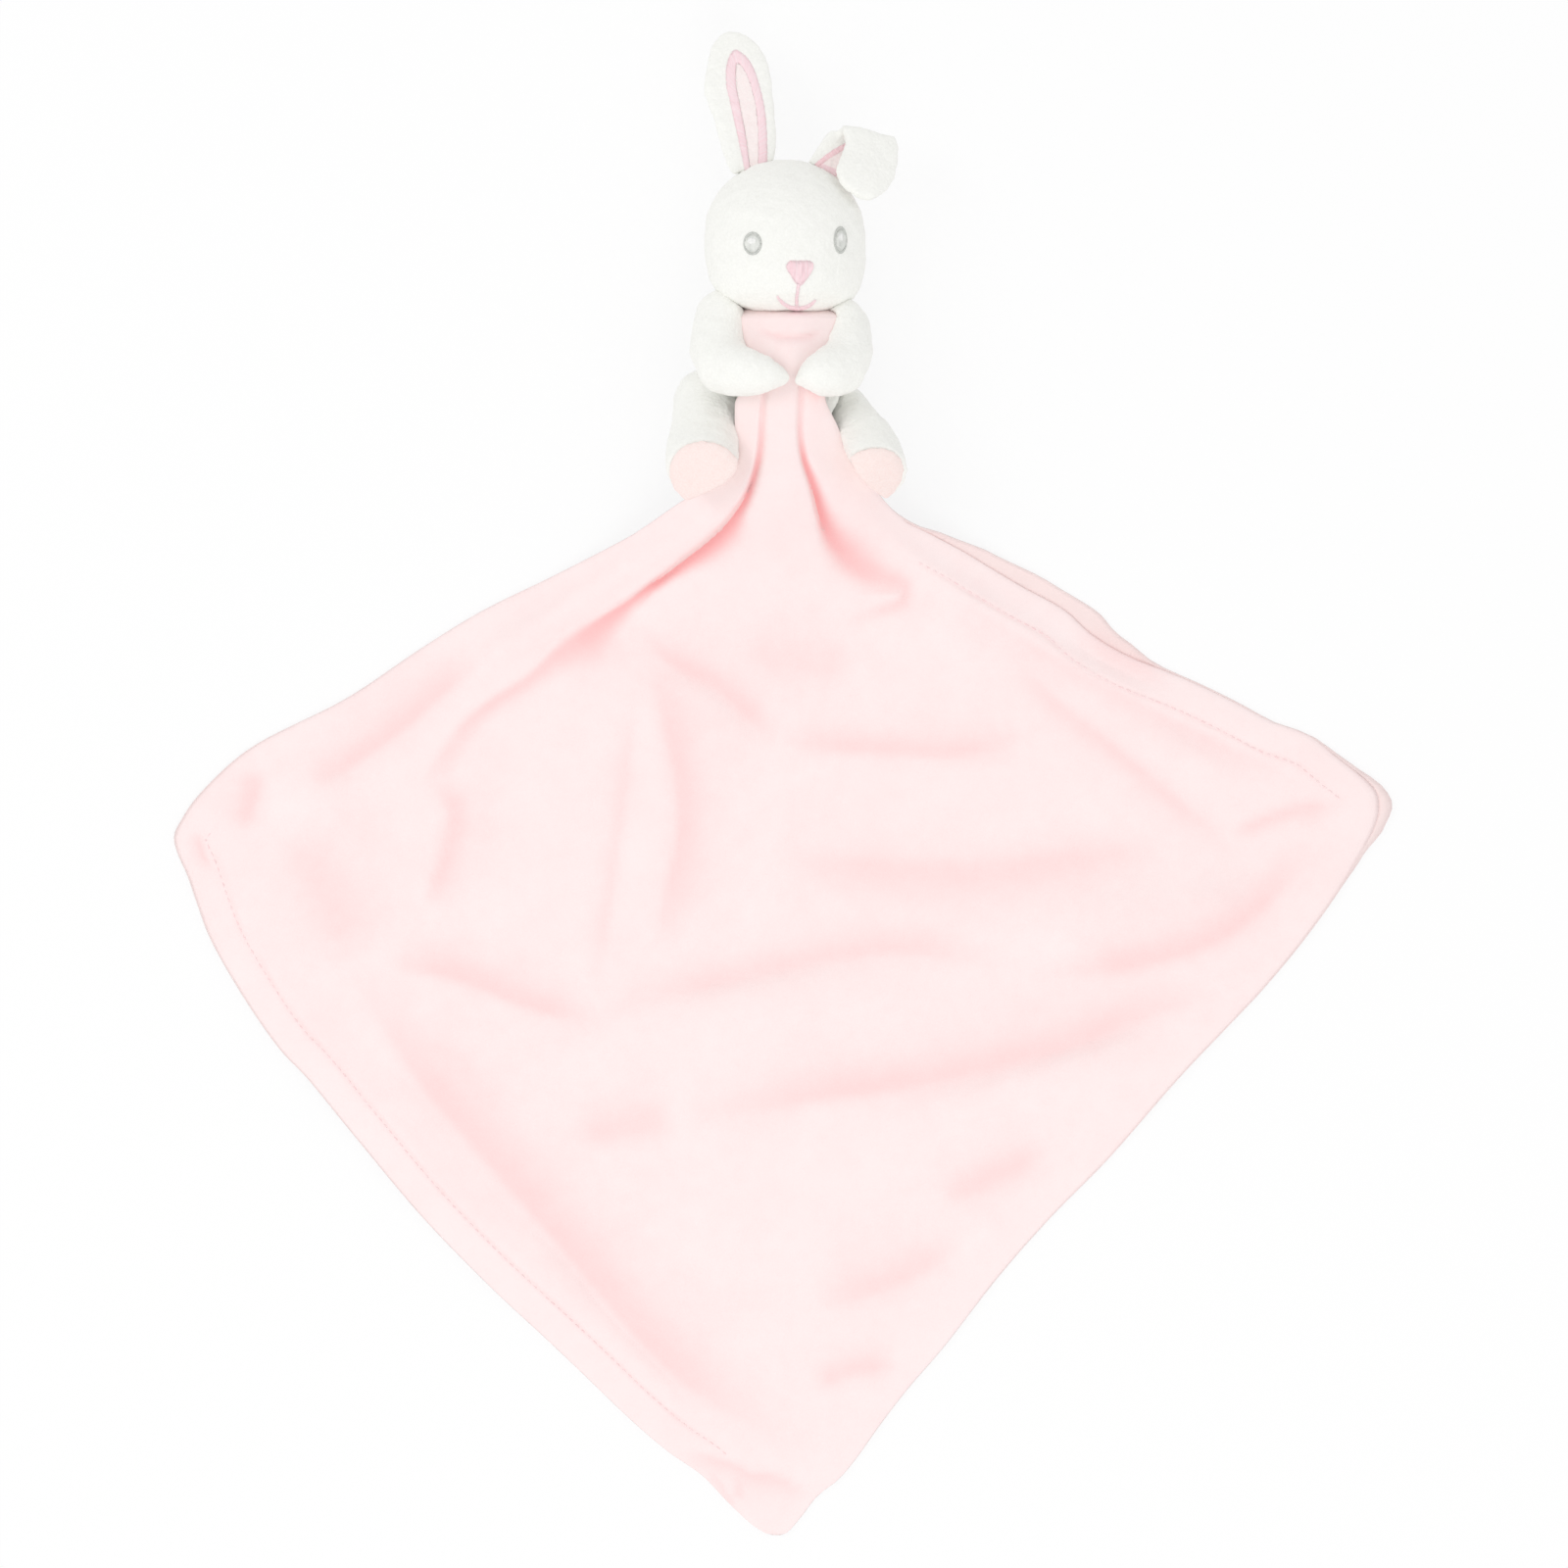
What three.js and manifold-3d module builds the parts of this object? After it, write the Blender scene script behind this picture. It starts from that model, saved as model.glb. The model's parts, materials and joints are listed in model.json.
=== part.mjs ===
// Comfort blanket with a small plush rabbit, laid on its back on a flat surface.
// +X is the right of a viewer who looks down at it, +Y runs toward the ears, +Z points up.
// Left and right in names are the rabbit's own, so its right side is the viewer's left.
import * as THREE from "three";
import { mergeVertices } from "three/addons/utils/BufferGeometryUtils.js";
import Module from "manifold-3d";

const wasm = await Module();
wasm.setup();

// Sizes in millimetres, angles in degrees

const seamGap = 0.3; // between pieces that touch
const clothGap = 0.5; // round the cloth, which the legs swing past
const cutOverrun = 12; // how far a cutting shape runs past what it cuts
const plushWall = 1.7; // plush fabric with its backing
const stuffingGap = 0.6; // between a skin and its stuffing
const flatBackDepth = 0.5; // how far the back is pressed flat where it lies
const weldDistance = 0.02; // corners nearer than this are one corner
const roundingError = 0.0001; // between two copies of one corner

const blanket = {
  sideLength: 400,
  chestEndY: 193,
  panelThickness: 1.2,
  drapeHeight: 50,
  drapeReach: 33,
  drapeX: 2,
  drapeY: 128,
  drapeSpread: 1.7,
  foldHeight: 8,
  foldWidth: 20,
  columns: 19,
};

const torso = {
  bodyLength: 84,
  width: 54,
  depth: 51.2,
  seatY: 116,
  middleX: 1,
  sides: 18,
};

const head = {
  width: 66.2,
  headLength: 63,
  depth: 64.6,
  middleX: 0.4,
  middleY: 225,
  middleZ: 31.8,
  turn: 10,
  sides: 20,
};

const neck = {
  ballRadius: 11,
  pivotY: 199,
  nodBack: 20,
  sides: 18,
};

const thread = {
  height: 0.9,
  strokeWidth: 1.3,
};

const face = {
  eyeWidth: 8.2,
  eyeLength: 11,
  eyeAngle: 34,
  eyeY: -4.4,
  noseWidth: 11.2,
  noseLength: 11.2,
  noseY: -17.6,
  philtrumLength: 6.4,
  mouthWidth: 15,
  mouthDepth: 3.8,
  mouthY: -17.6,
  mouthSlope: 20,
};

const ear = {
  earLength: 58.6,
  halfWidth: 14,
  panelThickness: 1.7,
  liningThickness: 0.6,
  borderThickness: 0.9,
  borderWidth: 3.1,
  liningHalfWidth: 6.4,
  flopSteps: 4,
};

const rightEar = {
  baseX: -13.3,
  baseY: 28.2,
  baseZ: 1.5,
  baseTurn: 20,
  droop: -15,
  lean: 12.6,
  flopForward: 50,
  flopBack: 20,
};

const leftEar = {
  baseX: 15.6,
  baseY: 27.4,
  baseZ: 2.5,
  baseTurn: -30,
  flopForward: 0,
  flopBack: 30,
  baseHalfWidth: 7,
  creaseLeftX: -4.4,
  creaseLeftY: 15.5,
  creaseRightX: 18.3,
  creaseRightY: 25.4,
  foldAngle: 24,
  tipLength: 32,
  tipWidth: 26,
  rollRadius: 2.2,
  rollStart: 3.6,
  rollLength: 20.6,
  rollSides: 12,
};

const arm = {
  sides: 12,
  rings: 9,
};

// Centre points and radii of each arm, from inside the shoulder to the paw
const rightArm = {
  shoulderX: -15,
  shoulderY: 190,
  shoulderZ: 27,
  shoulderRadius: 11,
  upperX: -25.6,
  upperY: 190.6,
  upperZ: 37,
  upperRadius: 12.2,
  elbowX: -26.4,
  elbowY: 172,
  elbowZ: 49,
  elbowRadius: 12.2,
  wristX: -15.5,
  wristY: 166.8,
  wristZ: 59.5,
  wristRadius: 9.6,
  pawX: -6,
  pawY: 165.6,
  pawZ: 61,
  pawRadius: 6,
  tipX: -0.9,
  tipY: 164.9,
  tipZ: 60,
  tipRadius: 2.6,
};

const leftArm = {
  shoulderX: 17,
  shoulderY: 190,
  shoulderZ: 27,
  shoulderRadius: 11,
  upperX: 24.4,
  upperY: 188.9,
  upperZ: 36,
  upperRadius: 11.9,
  elbowX: 24.6,
  elbowY: 171.2,
  elbowZ: 48,
  elbowRadius: 11.8,
  wristX: 15.6,
  wristY: 166.4,
  wristZ: 58,
  wristRadius: 8.9,
  pawX: 10.6,
  pawY: 165,
  pawZ: 60,
  pawRadius: 6,
  tipX: 7.4,
  tipY: 163.9,
  tipZ: 59.5,
  tipRadius: 2.6,
};

const leg = {
  sides: 16,
  rings: 5,
  soleThickness: 1.4,
  soleDome: 2.4,
  swingUp: 12,
  swingSteps: 8,
};

const rightLeg = {
  hipX: -28,
  hipY: 157,
  hipZ: 21,
  hipRadius: 15.4,
  kneeX: -31,
  kneeY: 139,
  kneeZ: 38,
  kneeRadius: 14.9,
  footX: -32.4,
  footY: 127,
  footZ: 55.5,
  footRadius: 15.2,
};

const leftLeg = {
  hipX: 28,
  hipY: 153,
  hipZ: 20,
  hipRadius: 14.5,
  kneeX: 33,
  kneeY: 139,
  kneeZ: 37,
  kneeRadius: 14.6,
  footX: 36.3,
  footY: 125.5,
  footZ: 53.5,
  footRadius: 14.7,
};

const tail = {
  radius: 10,
  middleY: 111,
  middleZ: 11.5,
  sides: 14,
};

// Shares of the sizes above

// Torso from the seat to the neck: place along the length, half width, height of the middle, half depth
const torsoRowShares = [
  [0.03, 0.42, 0.44, 0.42],
  [0.12, 0.78, 0.46, 0.78],
  [0.25, 0.96, 0.475, 0.97],
  [0.4, 1, 0.49, 1],
  [0.58, 0.95, 0.485, 0.99],
  [0.74, 0.86, 0.5, 0.93],
  [0.88, 0.74, 0.52, 0.8],
  [0.97, 0.5, 0.53, 0.55],
];

// Head from the chin to the crown: place along the half length, half width, front, back
const headRowShares = [
  [-1, 0.42, 0.62, 0.05],
  [-0.92, 0.64, 0.8, -0.28],
  [-0.8, 0.83, 0.93, -0.52],
  [-0.6, 0.94, 1.01, -0.78],
  [-0.35, 0.99, 1.02, -0.94],
  [0, 1, 1, -1],
  [0.3, 0.965, 0.92, -0.97],
  [0.55, 0.85, 0.77, -0.83],
  [0.75, 0.68, 0.58, -0.64],
  [0.9, 0.45, 0.38, -0.4],
  [0.975, 0.23, 0.2, -0.2],
];

// How far forward the chin's lowest point lies
const chinForwardShare = 0.3;

// Ear outline from the base to the tip: place along the length, half width
const earOutlineShares = [
  [0, 0.64],
  [0.09, 0.78],
  [0.22, 0.87],
  [0.36, 0.935],
  [0.5, 0.985],
  [0.64, 1],
  [0.77, 0.9],
  [0.87, 0.72],
  [0.94, 0.5],
  [0.985, 0.25],
];

// Pink patch in the ear, on the same terms, its half width as a share of the patch's own
const patchOutlineShares = [
  [0.035, 0.78],
  [0.2, 0.92],
  [0.38, 1],
  [0.55, 0.98],
  [0.7, 0.84],
  [0.8, 0.58],
  [0.855, 0.3],
];

// Folded ear's free end, as shares of its width and length from the crease's outer end
const tipOutlineShares = [
  [0.12, 0],
  [0.98, 0],
  [1.06, 0.14],
  [1.09, 0.36],
  [1.02, 0.62],
  [0.84, 0.84],
  [0.62, 0.98],
  [0.42, 0.97],
  [0.2, 0.8],
  [0.08, 0.6],
  [0.13, 0.4],
  [0.2, 0.2],
];

// Middle of the free end, and the part of the crease that the pink patch spans
const tipMiddleShares = [0.58, 0.5];
const creasePatchShares = [0.24, 0.9];

// How far an ear's tip runs on past its last row
const earTipShare = 0.35;

// Foot sole from its rim to its middle: place along the radius, wall, dome
const soleProfileShares = [
  [1, 0.6, 0],
  [0.86, 1, 0.45],
  [0.5, 1, 0.85],
  [0, 1, 1],
];

// Blanket outline from the chin to the far corner: place along Y, left edge, right edge
const outlineShares = [
  [0.4825, -0.043, 0.058],
  [0.462, -0.043, 0.057],
  [0.442, -0.038, 0.052],
  [0.418, -0.034, 0.042],
  [0.398, -0.042, 0.042],
  [0.38, -0.045, 0.046],
  [0.363, -0.045, 0.053],
  [0.346, -0.044, 0.059],
  [0.333, -0.045, 0.066],
  [0.32, -0.05, 0.074],
  [0.309, -0.062, 0.085],
  [0.298, -0.083, 0.096],
  [0.284, -0.111, 0.112],
  [0.269, -0.137, 0.134],
  [0.252, -0.166, 0.169],
  [0.217, -0.23, 0.231],
  [0.168, -0.327, 0.31],
  [0.101, -0.432, 0.434],
  [0.04, -0.549, 0.565],
  [-0.012, -0.606, 0.633],
  [-0.055, -0.636, 0.621],
  [-0.103, -0.617, 0.586],
  [-0.18, -0.585, 0.528],
  [-0.28, -0.524, 0.438],
  [-0.369, -0.45, 0.355],
  [-0.451, -0.379, 0.27],
  [-0.56, -0.267, 0.174],
  [-0.665, -0.152, 0.101],
  [-0.735, -0.07, 0.036],
  [-0.777, -0.026, 0.012],
];

// How far the back panel shows past the front one on the right: place along Y, reach
const backPeekShares = [
  [-0.777, 0.001],
  [-0.18, 0.001],
  [-0.103, 0.004],
  [-0.012, 0.009],
  [0.04, 0.003],
  [0.101, 0.012],
  [0.168, 0.028],
  [0.217, 0.03],
  [0.269, 0.012],
  [0.284, 0.004],
  [0.31, 0.001],
];

// How suddenly the draped cloth falls off past the seat
const drapeSteepnessShare = 1.9;

// Chest end of the cloth: place along Y as a share of the side, extra height as a share of the drape height
const chestRiseShares = [
  [0.34, 0],
  [0.4, 0.05],
  [0.44, 0.06],
  [0.49, 0.02],
];

// Folds: height, width, then the line that each follows, in shares of the side
const foldShares = [
  [-1, 0.26, [[-0.021, 0.394], [-0.021, 0.339], [-0.035, 0.293], [-0.081, 0.25], [-0.153, 0.193], [-0.225, 0.142]]],
  [-0.3, 0.5, [[-0.225, 0.142], [-0.286, 0.096], [-0.353, 0.025]]],
  [-1, 0.26, [[0.016, 0.394], [0.018, 0.334], [0.036, 0.27], [0.087, 0.213], [0.128, 0.203]]],
  [0.5, 0.35, [[-0.048, 0.3], [-0.101, 0.257], [-0.184, 0.211], [-0.286, 0.147], [-0.378, 0.089]]],
  [0.5, 0.35, [[0.055, 0.31], [0.081, 0.277], [0.132, 0.233], [0.225, 0.171], [0.317, 0.112], [0.419, 0.055]]],
  [0.55, 0.5, [[0.09, 0.15], [0.15, 0.175], [0.21, 0.15]]],
  [0.5, 0.6, [[-0.573, -0.134], [-0.481, -0.282], [-0.358, -0.426], [-0.205, -0.564], [-0.082, -0.666]]],
  [0.45, 0.7, [[-0.53, 0.03], [-0.47, -0.04], [-0.42, -0.11]]],
  [0.45, 0.7, [[-0.3, 0.06], [-0.33, -0.02], [-0.34, -0.1]]],
  [0.5, 0.7, [[-0.35, -0.26], [-0.24, -0.29], [-0.14, -0.26], [0.02, -0.23], [0.2, -0.24]]],
  [0.45, 0.7, [[0.5, -0.1], [0.4, -0.14], [0.27, -0.16]]],
  [0.45, 0.7, [[0.42, -0.28], [0.3, -0.31], [0.1, -0.37]]],
  [0.4, 0.7, [[-0.16, 0.1], [-0.09, 0.06], [-0.02, 0]]],
];

// Nose, a rounded triangle, as shares of its half width and half length
const noseOutlineShares = [
  [-0.3, 0.92],
  [0, 1],
  [0.35, 0.95],
  [0.9, 0.86],
  [1, 0.45],
  [0.62, -0.25],
  [0.2, -0.95],
  [-0.2, -0.95],
  [-0.62, -0.25],
  [-1, 0.45],
  [-0.85, 0.86],
];

// Materials, in the photographed colours

function cloth(colour, roughness) {
  return new THREE.MeshStandardMaterial({ color: colour, roughness, metalness: 0 });
}

const whitePlush = cloth(0xf7f8f2, 0.95);
const pinkVelour = cloth(0xffeded, 0.9);
const pinkBacking = cloth(0xf9e6e4, 0.9);
const stuffing = cloth(0xfbfbf8, 1);
const solePlush = cloth(0xfdeae8, 0.95);
const liningVelour = cloth(0xfeeeec, 0.9);
const pinkThread = cloth(0xfcdfe4, 0.55);
const greyThread = cloth(0xd5d6d0, 0.5);

// Solids

function solidOf(geometry) {
  const bare = geometry.index ? geometry.toNonIndexed() : geometry.clone();
  const positions = new THREE.BufferGeometry().setAttribute("position", bare.getAttribute("position"));
  const merged = mergeVertices(positions, roundingError);
  return new wasm.Manifold(
    new wasm.Mesh({
      numProp: 3,
      vertProperties: merged.getAttribute("position").array,
      triVerts: new Uint32Array(merged.index.array),
    }),
  );
}

function geometryOf(solid) {
  const mesh = solid.getMesh();
  const stride = mesh.numProp;
  const positions = new Float32Array(mesh.numVert * 3);
  for (let i = 0; i < mesh.numVert; i++) {
    positions.set(mesh.vertProperties.subarray(i * stride, i * stride + 3), i * 3);
  }
  const cut = new THREE.BufferGeometry();
  cut.setAttribute("position", new THREE.BufferAttribute(positions, 3));
  cut.setIndex(new THREE.BufferAttribute(new Uint32Array(mesh.triVerts), 1));
  const geometry = mergeVertices(cut, weldDistance);
  const corners = geometry.index.array;
  const faces = [];
  for (let i = 0; i < corners.length; i += 3) {
    const [a, b, c] = corners.subarray(i, i + 3);
    if (a !== b && b !== c && c !== a) faces.push(a, b, c);
  }
  geometry.setIndex(faces);
  geometry.computeVertexNormals();
  return geometry;
}

function largestBody(solid) {
  const bodies = solid.decompose();
  return bodies.reduce((best, body) => (body.volume() > best.volume() ? body : best));
}

function piece(name, solid, material) {
  const mesh = new THREE.Mesh(geometryOf(solid), material);
  mesh.name = name;
  return mesh;
}

function joined(solids) {
  return solids.reduce((sum, solid) => sum.add(solid));
}

function radians(degrees) {
  return THREE.MathUtils.degToRad(degrees);
}

// Closed skin over rings of points, each ring the same count, between two end points
function loft(rings, startPoint, endPoint) {
  const sides = rings[0].length;
  const points = [startPoint, ...rings.flat(), endPoint];
  const at = (ring, side) => 1 + ring * sides + (side % sides);
  const faces = [];
  for (let side = 0; side < sides; side++) {
    faces.push([0, at(0, side + 1), at(0, side)]);
    faces.push([points.length - 1, at(rings.length - 1, side), at(rings.length - 1, side + 1)]);
  }
  for (let ring = 0; ring + 1 < rings.length; ring++) {
    for (let side = 0; side < sides; side++) {
      const [a, b] = [at(ring, side), at(ring, side + 1)];
      const [c, d] = [at(ring + 1, side), at(ring + 1, side + 1)];
      faces.push([a, b, d], [a, d, c]);
    }
  }
  const geometry = new THREE.BufferGeometry().setFromPoints(points);
  geometry.setIndex(faces.flat());
  return facingOut(geometry);
}

function facingOut(geometry) {
  const { array } = geometry.getAttribute("position");
  const index = geometry.index.array;
  const corner = (i) => new THREE.Vector3().fromArray(array, index[i] * 3);
  let volume = 0;
  for (let i = 0; i < index.length; i += 3) {
    volume += corner(i).dot(corner(i + 1).cross(corner(i + 2)));
  }
  if (volume < 0) {
    for (let i = 0; i < index.length; i += 3) {
      [index[i + 1], index[i + 2]] = [index[i + 2], index[i + 1]];
    }
  }
  return geometry;
}

function interpolate(table, at) {
  if (at <= table[0][0]) return table[0][1];
  for (let i = 0; i + 1 < table.length; i++) {
    const [[x0, y0], [x1, y1]] = [table[i], table[i + 1]];
    if (at <= x1) {
      const part = (at - x0) / (x1 - x0);
      return y0 + (y1 - y0) * part * part * (3 - 2 * part);
    }
  }
  return table[table.length - 1][1];
}

// Blanket: two velour panels sewn round the edge, laid as a height over the surface.
// Its shares are measured from the end that the toy holds, so a larger blanket spreads further out.

function blanketY(yShare) {
  return blanket.chestEndY - blanket.sideLength * (outlineShares[0][0] - yShare);
}

function blanketShare(y) {
  return outlineShares[0][0] - (blanket.chestEndY - y) / blanket.sideLength;
}

function blanketPoint([xShare, yShare]) {
  return new THREE.Vector2(blanket.sideLength * xShare, blanketY(yShare));
}

function distanceToPath(point, path) {
  let nearest = Infinity;
  for (let i = 0; i + 1 < path.length; i++) {
    const from = blanketPoint(path[i]);
    const to = blanketPoint(path[i + 1]);
    const along = to.clone().sub(from);
    const share = point.clone().sub(from).dot(along) / along.lengthSq();
    const foot = from.addScaledVector(along, THREE.MathUtils.clamp(share, 0, 1));
    nearest = Math.min(nearest, foot.distanceTo(point));
  }
  return nearest;
}

function clothHeight(x, y) {
  const across = (x - blanket.drapeX) / blanket.drapeSpread;
  const below = Math.max(0, blanket.drapeY - y);
  const away = Math.hypot(across, below) / blanket.drapeReach;
  const chestRise = interpolate(chestRiseShares, blanketShare(y));
  const drape = Math.exp(-Math.pow(away, drapeSteepnessShare)) + chestRise;
  const point = new THREE.Vector2(x, y);
  let folds = 0;
  for (const [height, width, path] of foldShares) {
    const spread = distanceToPath(point, path) / (blanket.foldWidth * width);
    folds += blanket.foldHeight * height * Math.exp(-spread * spread);
  }
  const height = drape * blanket.drapeHeight + folds;
  return seamGap / 2 + blanket.panelThickness + Math.max(0, height);
}

// Cloth from its bottom to its top, measured from the middle of the two panels.
// The back panel has one more column, which runs past the front panel's right edge.
function clothGrid(bottom, top, settings = {}) {
  const { peek = false, spread = 0, rows = outlineShares, columns = blanket.columns } = settings;
  const layers = [bottom, top].map((offset) =>
    rows.map(([yShare, leftShare, rightShare], row) => {
      const y = blanketY(yShare);
      const left = blanket.sideLength * leftShare - spread;
      const right = blanket.sideLength * rightShare + spread;
      const end = row === 0 ? spread : row === rows.length - 1 ? -spread : 0;
      const step = (right - left) / (columns - 1);
      const places = Array.from({ length: columns }, (_, column) => left + step * column);
      if (peek) places.push(right + blanket.sideLength * interpolate(backPeekShares, yShare));
      return places.map((x) => new THREE.Vector3(x, y + end, clothHeight(x, y) + offset));
    }),
  );
  const wide = layers[0][0].length;
  const at = (layer, row, column) => (layer * rows.length + row) * wide + column;
  const faces = [];
  const quad = (a, b, c, d) => faces.push([a, b, c], [a, c, d]);
  for (let row = 0; row + 1 < rows.length; row++) {
    for (let column = 0; column + 1 < wide; column++) {
      const [r, c] = [row + 1, column + 1];
      quad(at(1, row, column), at(1, r, column), at(1, r, c), at(1, row, c));
      quad(at(0, row, column), at(0, row, c), at(0, r, c), at(0, r, column));
    }
    quad(at(0, row, 0), at(0, row + 1, 0), at(1, row + 1, 0), at(1, row, 0));
    const edge = wide - 1;
    quad(at(0, row, edge), at(1, row, edge), at(1, row + 1, edge), at(0, row + 1, edge));
  }
  for (let column = 0; column + 1 < wide; column++) {
    quad(at(0, 0, column), at(1, 0, column), at(1, 0, column + 1), at(0, 0, column + 1));
    const end = rows.length - 1;
    quad(at(0, end, column), at(0, end, column + 1), at(1, end, column + 1), at(1, end, column));
  }
  const geometry = new THREE.BufferGeometry().setFromPoints(layers.flat(2));
  geometry.setIndex(faces.flat());
  return facingOut(geometry);
}

const panelEdge = seamGap / 2;
const clothHalf = panelEdge + blanket.panelThickness;
const frontPanel = solidOf(clothGrid(panelEdge, clothHalf));
const backPanel = solidOf(clothGrid(-clothHalf, -panelEdge, { peek: true }));

// Space over and under the cloth, which the pieces below and above it keep clear of
const clothReach = blanket.drapeHeight + cutOverrun * 2;
const lowestRow = torso.seatY - cutOverrun * 3;
const bodyRows = outlineShares.filter(([yShare]) => blanketY(yShare) > lowestRow);
const around = { peek: true, spread: seamGap, rows: bodyRows };
const overCloth = solidOf(clothGrid(-clothHalf - clothGap, clothReach, { ...around, spread: clothGap }));
const underCloth = solidOf(clothGrid(-clothReach, clothHalf + seamGap, around));

// The same for the stuffing, in fewer columns and further off
const coarse = { peek: true, spread: seamGap, rows: bodyRows, columns: 10 };
const stuffingOff = clothHalf + plushWall * 2;
const overStuffing = solidOf(clothGrid(-stuffingOff, clothReach, coarse));
const underStuffing = solidOf(clothGrid(-clothReach, stuffingOff, coarse));

// Stuffed forms, each made at an offset from its outer surface

function ellipseRing(y, halfWidth, middleX, middleZ, halfDepth, sides) {
  return Array.from({ length: sides }, (_, side) => {
    const angle = (2 * Math.PI * side) / sides;
    return new THREE.Vector3(middleX + halfWidth * Math.cos(angle), y, middleZ + halfDepth * Math.sin(angle));
  });
}

function grownShare(size, offset) {
  return (size / 2 + offset) / (size / 2);
}

function torsoForm(offset) {
  const rings = torsoRowShares.map(([along, half, middle, depth]) =>
    ellipseRing(
      torso.bodyLength * (along - 0.5),
      (torso.width / 2) * half,
      0,
      torso.depth * (middle - 0.5),
      (torso.depth / 2) * depth,
      torso.sides,
    ),
  );
  const start = new THREE.Vector3(0, -torso.bodyLength / 2, 0);
  const end = new THREE.Vector3(0, torso.bodyLength / 2, 0);
  const form = loft(rings, start, end);
  form.scale(...[torso.width, torso.bodyLength, torso.depth].map((size) => grownShare(size, offset)));
  form.translate(torso.middleX, torso.seatY + torso.bodyLength / 2, torso.depth / 2 - flatBackDepth);
  return solidOf(form);
}

function headForm(offset) {
  const halfDepth = head.depth / 2;
  const rings = headRowShares.map(([along, half, front, back]) =>
    ellipseRing(
      (head.headLength / 2) * along,
      (head.width / 2) * half,
      0,
      (halfDepth * (front + back)) / 2,
      (halfDepth * (front - back)) / 2,
      head.sides,
    ),
  );
  const chin = new THREE.Vector3(0, -head.headLength / 2, halfDepth * chinForwardShare);
  const crown = new THREE.Vector3(0, head.headLength / 2, 0);
  const form = loft(rings, chin, crown);
  form.scale(...[head.width, head.headLength, head.depth].map((size) => grownShare(size, offset)));
  return solidOf(form);
}

// Tube of changing radius through the given centres, round at its start and, unless cut flat, at its end
function limbForm(centres, radii, offset, sides, rings, flatEnd) {
  const curve = new THREE.CatmullRomCurve3(centres);
  const radiusAt = (share) => {
    const place = share * (radii.length - 1);
    const first = Math.min(Math.floor(place), radii.length - 2);
    const part = place - first;
    return radii[first] + (radii[first + 1] - radii[first]) * part + offset;
  };
  const stations = [];
  const capSteps = 4;
  const [startTangent, endTangent] = [curve.getTangent(0), curve.getTangent(1)];
  for (let step = 1; step < capSteps; step++) {
    const angle = (Math.PI / 2) * (step / capSteps);
    const middle = curve.getPoint(0).addScaledVector(startTangent, -radiusAt(0) * Math.cos(angle));
    stations.push([middle, startTangent, radiusAt(0) * Math.sin(angle)]);
  }
  for (let ring = 0; ring <= rings; ring++) {
    const share = ring / rings;
    stations.push([curve.getPoint(share), curve.getTangent(share), radiusAt(share)]);
  }
  if (!flatEnd) {
    for (let step = capSteps - 1; step > 0; step--) {
      const angle = (Math.PI / 2) * (step / capSteps);
      const middle = curve.getPoint(1).addScaledVector(endTangent, radiusAt(1) * Math.cos(angle));
      stations.push([middle, endTangent, radiusAt(1) * Math.sin(angle)]);
    }
  }
  let across = new THREE.Vector3(1, 0, 0).projectOnPlane(startTangent).normalize();
  let before = startTangent;
  const loops = stations.map(([middle, tangent, radius]) => {
    const turn = new THREE.Quaternion().setFromUnitVectors(before, tangent);
    across = across.clone().applyQuaternion(turn);
    before = tangent;
    const up = new THREE.Vector3().crossVectors(tangent, across);
    return Array.from({ length: sides }, (_, side) => {
      const angle = (2 * Math.PI * side) / sides;
      return middle
        .clone()
        .addScaledVector(across, radius * Math.cos(angle))
        .addScaledVector(up, radius * Math.sin(angle));
    });
  });
  const start = curve.getPoint(0).addScaledVector(startTangent, -radiusAt(0));
  const end = curve.getPoint(1).addScaledVector(endTangent, flatEnd ? 0 : radiusAt(1));
  return solidOf(loft(loops, start, end));
}

// Space under the surface that the toy lies on
function floorBlock(tilt) {
  const size = blanket.sideLength * 2;
  const block = new THREE.BoxGeometry(size, size, size);
  block.translate(0, 0, -size / 2);
  block.rotateY(-radians(tilt));
  return block;
}

const belowFloor = solidOf(floorBlock(0));

// Neck: the plug of stuffing that the head turns and nods on

const neckPivot = new THREE.Vector3(head.middleX, neck.pivotY, head.middleZ);

function neckBall(offset, place) {
  const ball = new THREE.SphereGeometry(neck.ballRadius + offset, neck.sides, neck.sides / 2);
  ball.translate(...place.toArray());
  return solidOf(ball);
}

// Everything the head can reach as it turns and nods back
function headReach(offset, nodSteps) {
  const halfDepth = head.depth / 2;
  const rows = headRowShares.map(([along, half, front, back]) => {
    const radius = Math.max((head.width / 2) * half, halfDepth * Math.max(front, -back));
    return new THREE.Vector2(radius + offset, (head.headLength / 2) * along);
  });
  const ends = head.headLength / 2 + offset;
  const profile = [new THREE.Vector2(0, -ends), ...rows, new THREE.Vector2(0, ends)];
  const shapes = [];
  for (let step = 0; step <= nodSteps; step++) {
    const shape = new THREE.LatheGeometry(profile, head.sides);
    shape.translate(0, head.middleY - neck.pivotY, 0);
    shape.rotateX(-radians((neck.nodBack * step) / nodSteps));
    shape.translate(...neckPivot.toArray());
    shapes.push(solidOf(shape));
  }
  return joined(shapes);
}

const headClearance = headReach(seamGap * 2, 2);
const headStuffingClearance = headReach(plushWall, 1);

// Legs

function legCentres(side) {
  return [
    new THREE.Vector3(side.hipX, side.hipY, side.hipZ),
    new THREE.Vector3(side.kneeX, side.kneeY, side.kneeZ),
    new THREE.Vector3(side.footX, side.footY, side.footZ),
  ];
}

function legAxis(side) {
  return new THREE.CatmullRomCurve3(legCentres(side)).getTangent(1);
}

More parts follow.
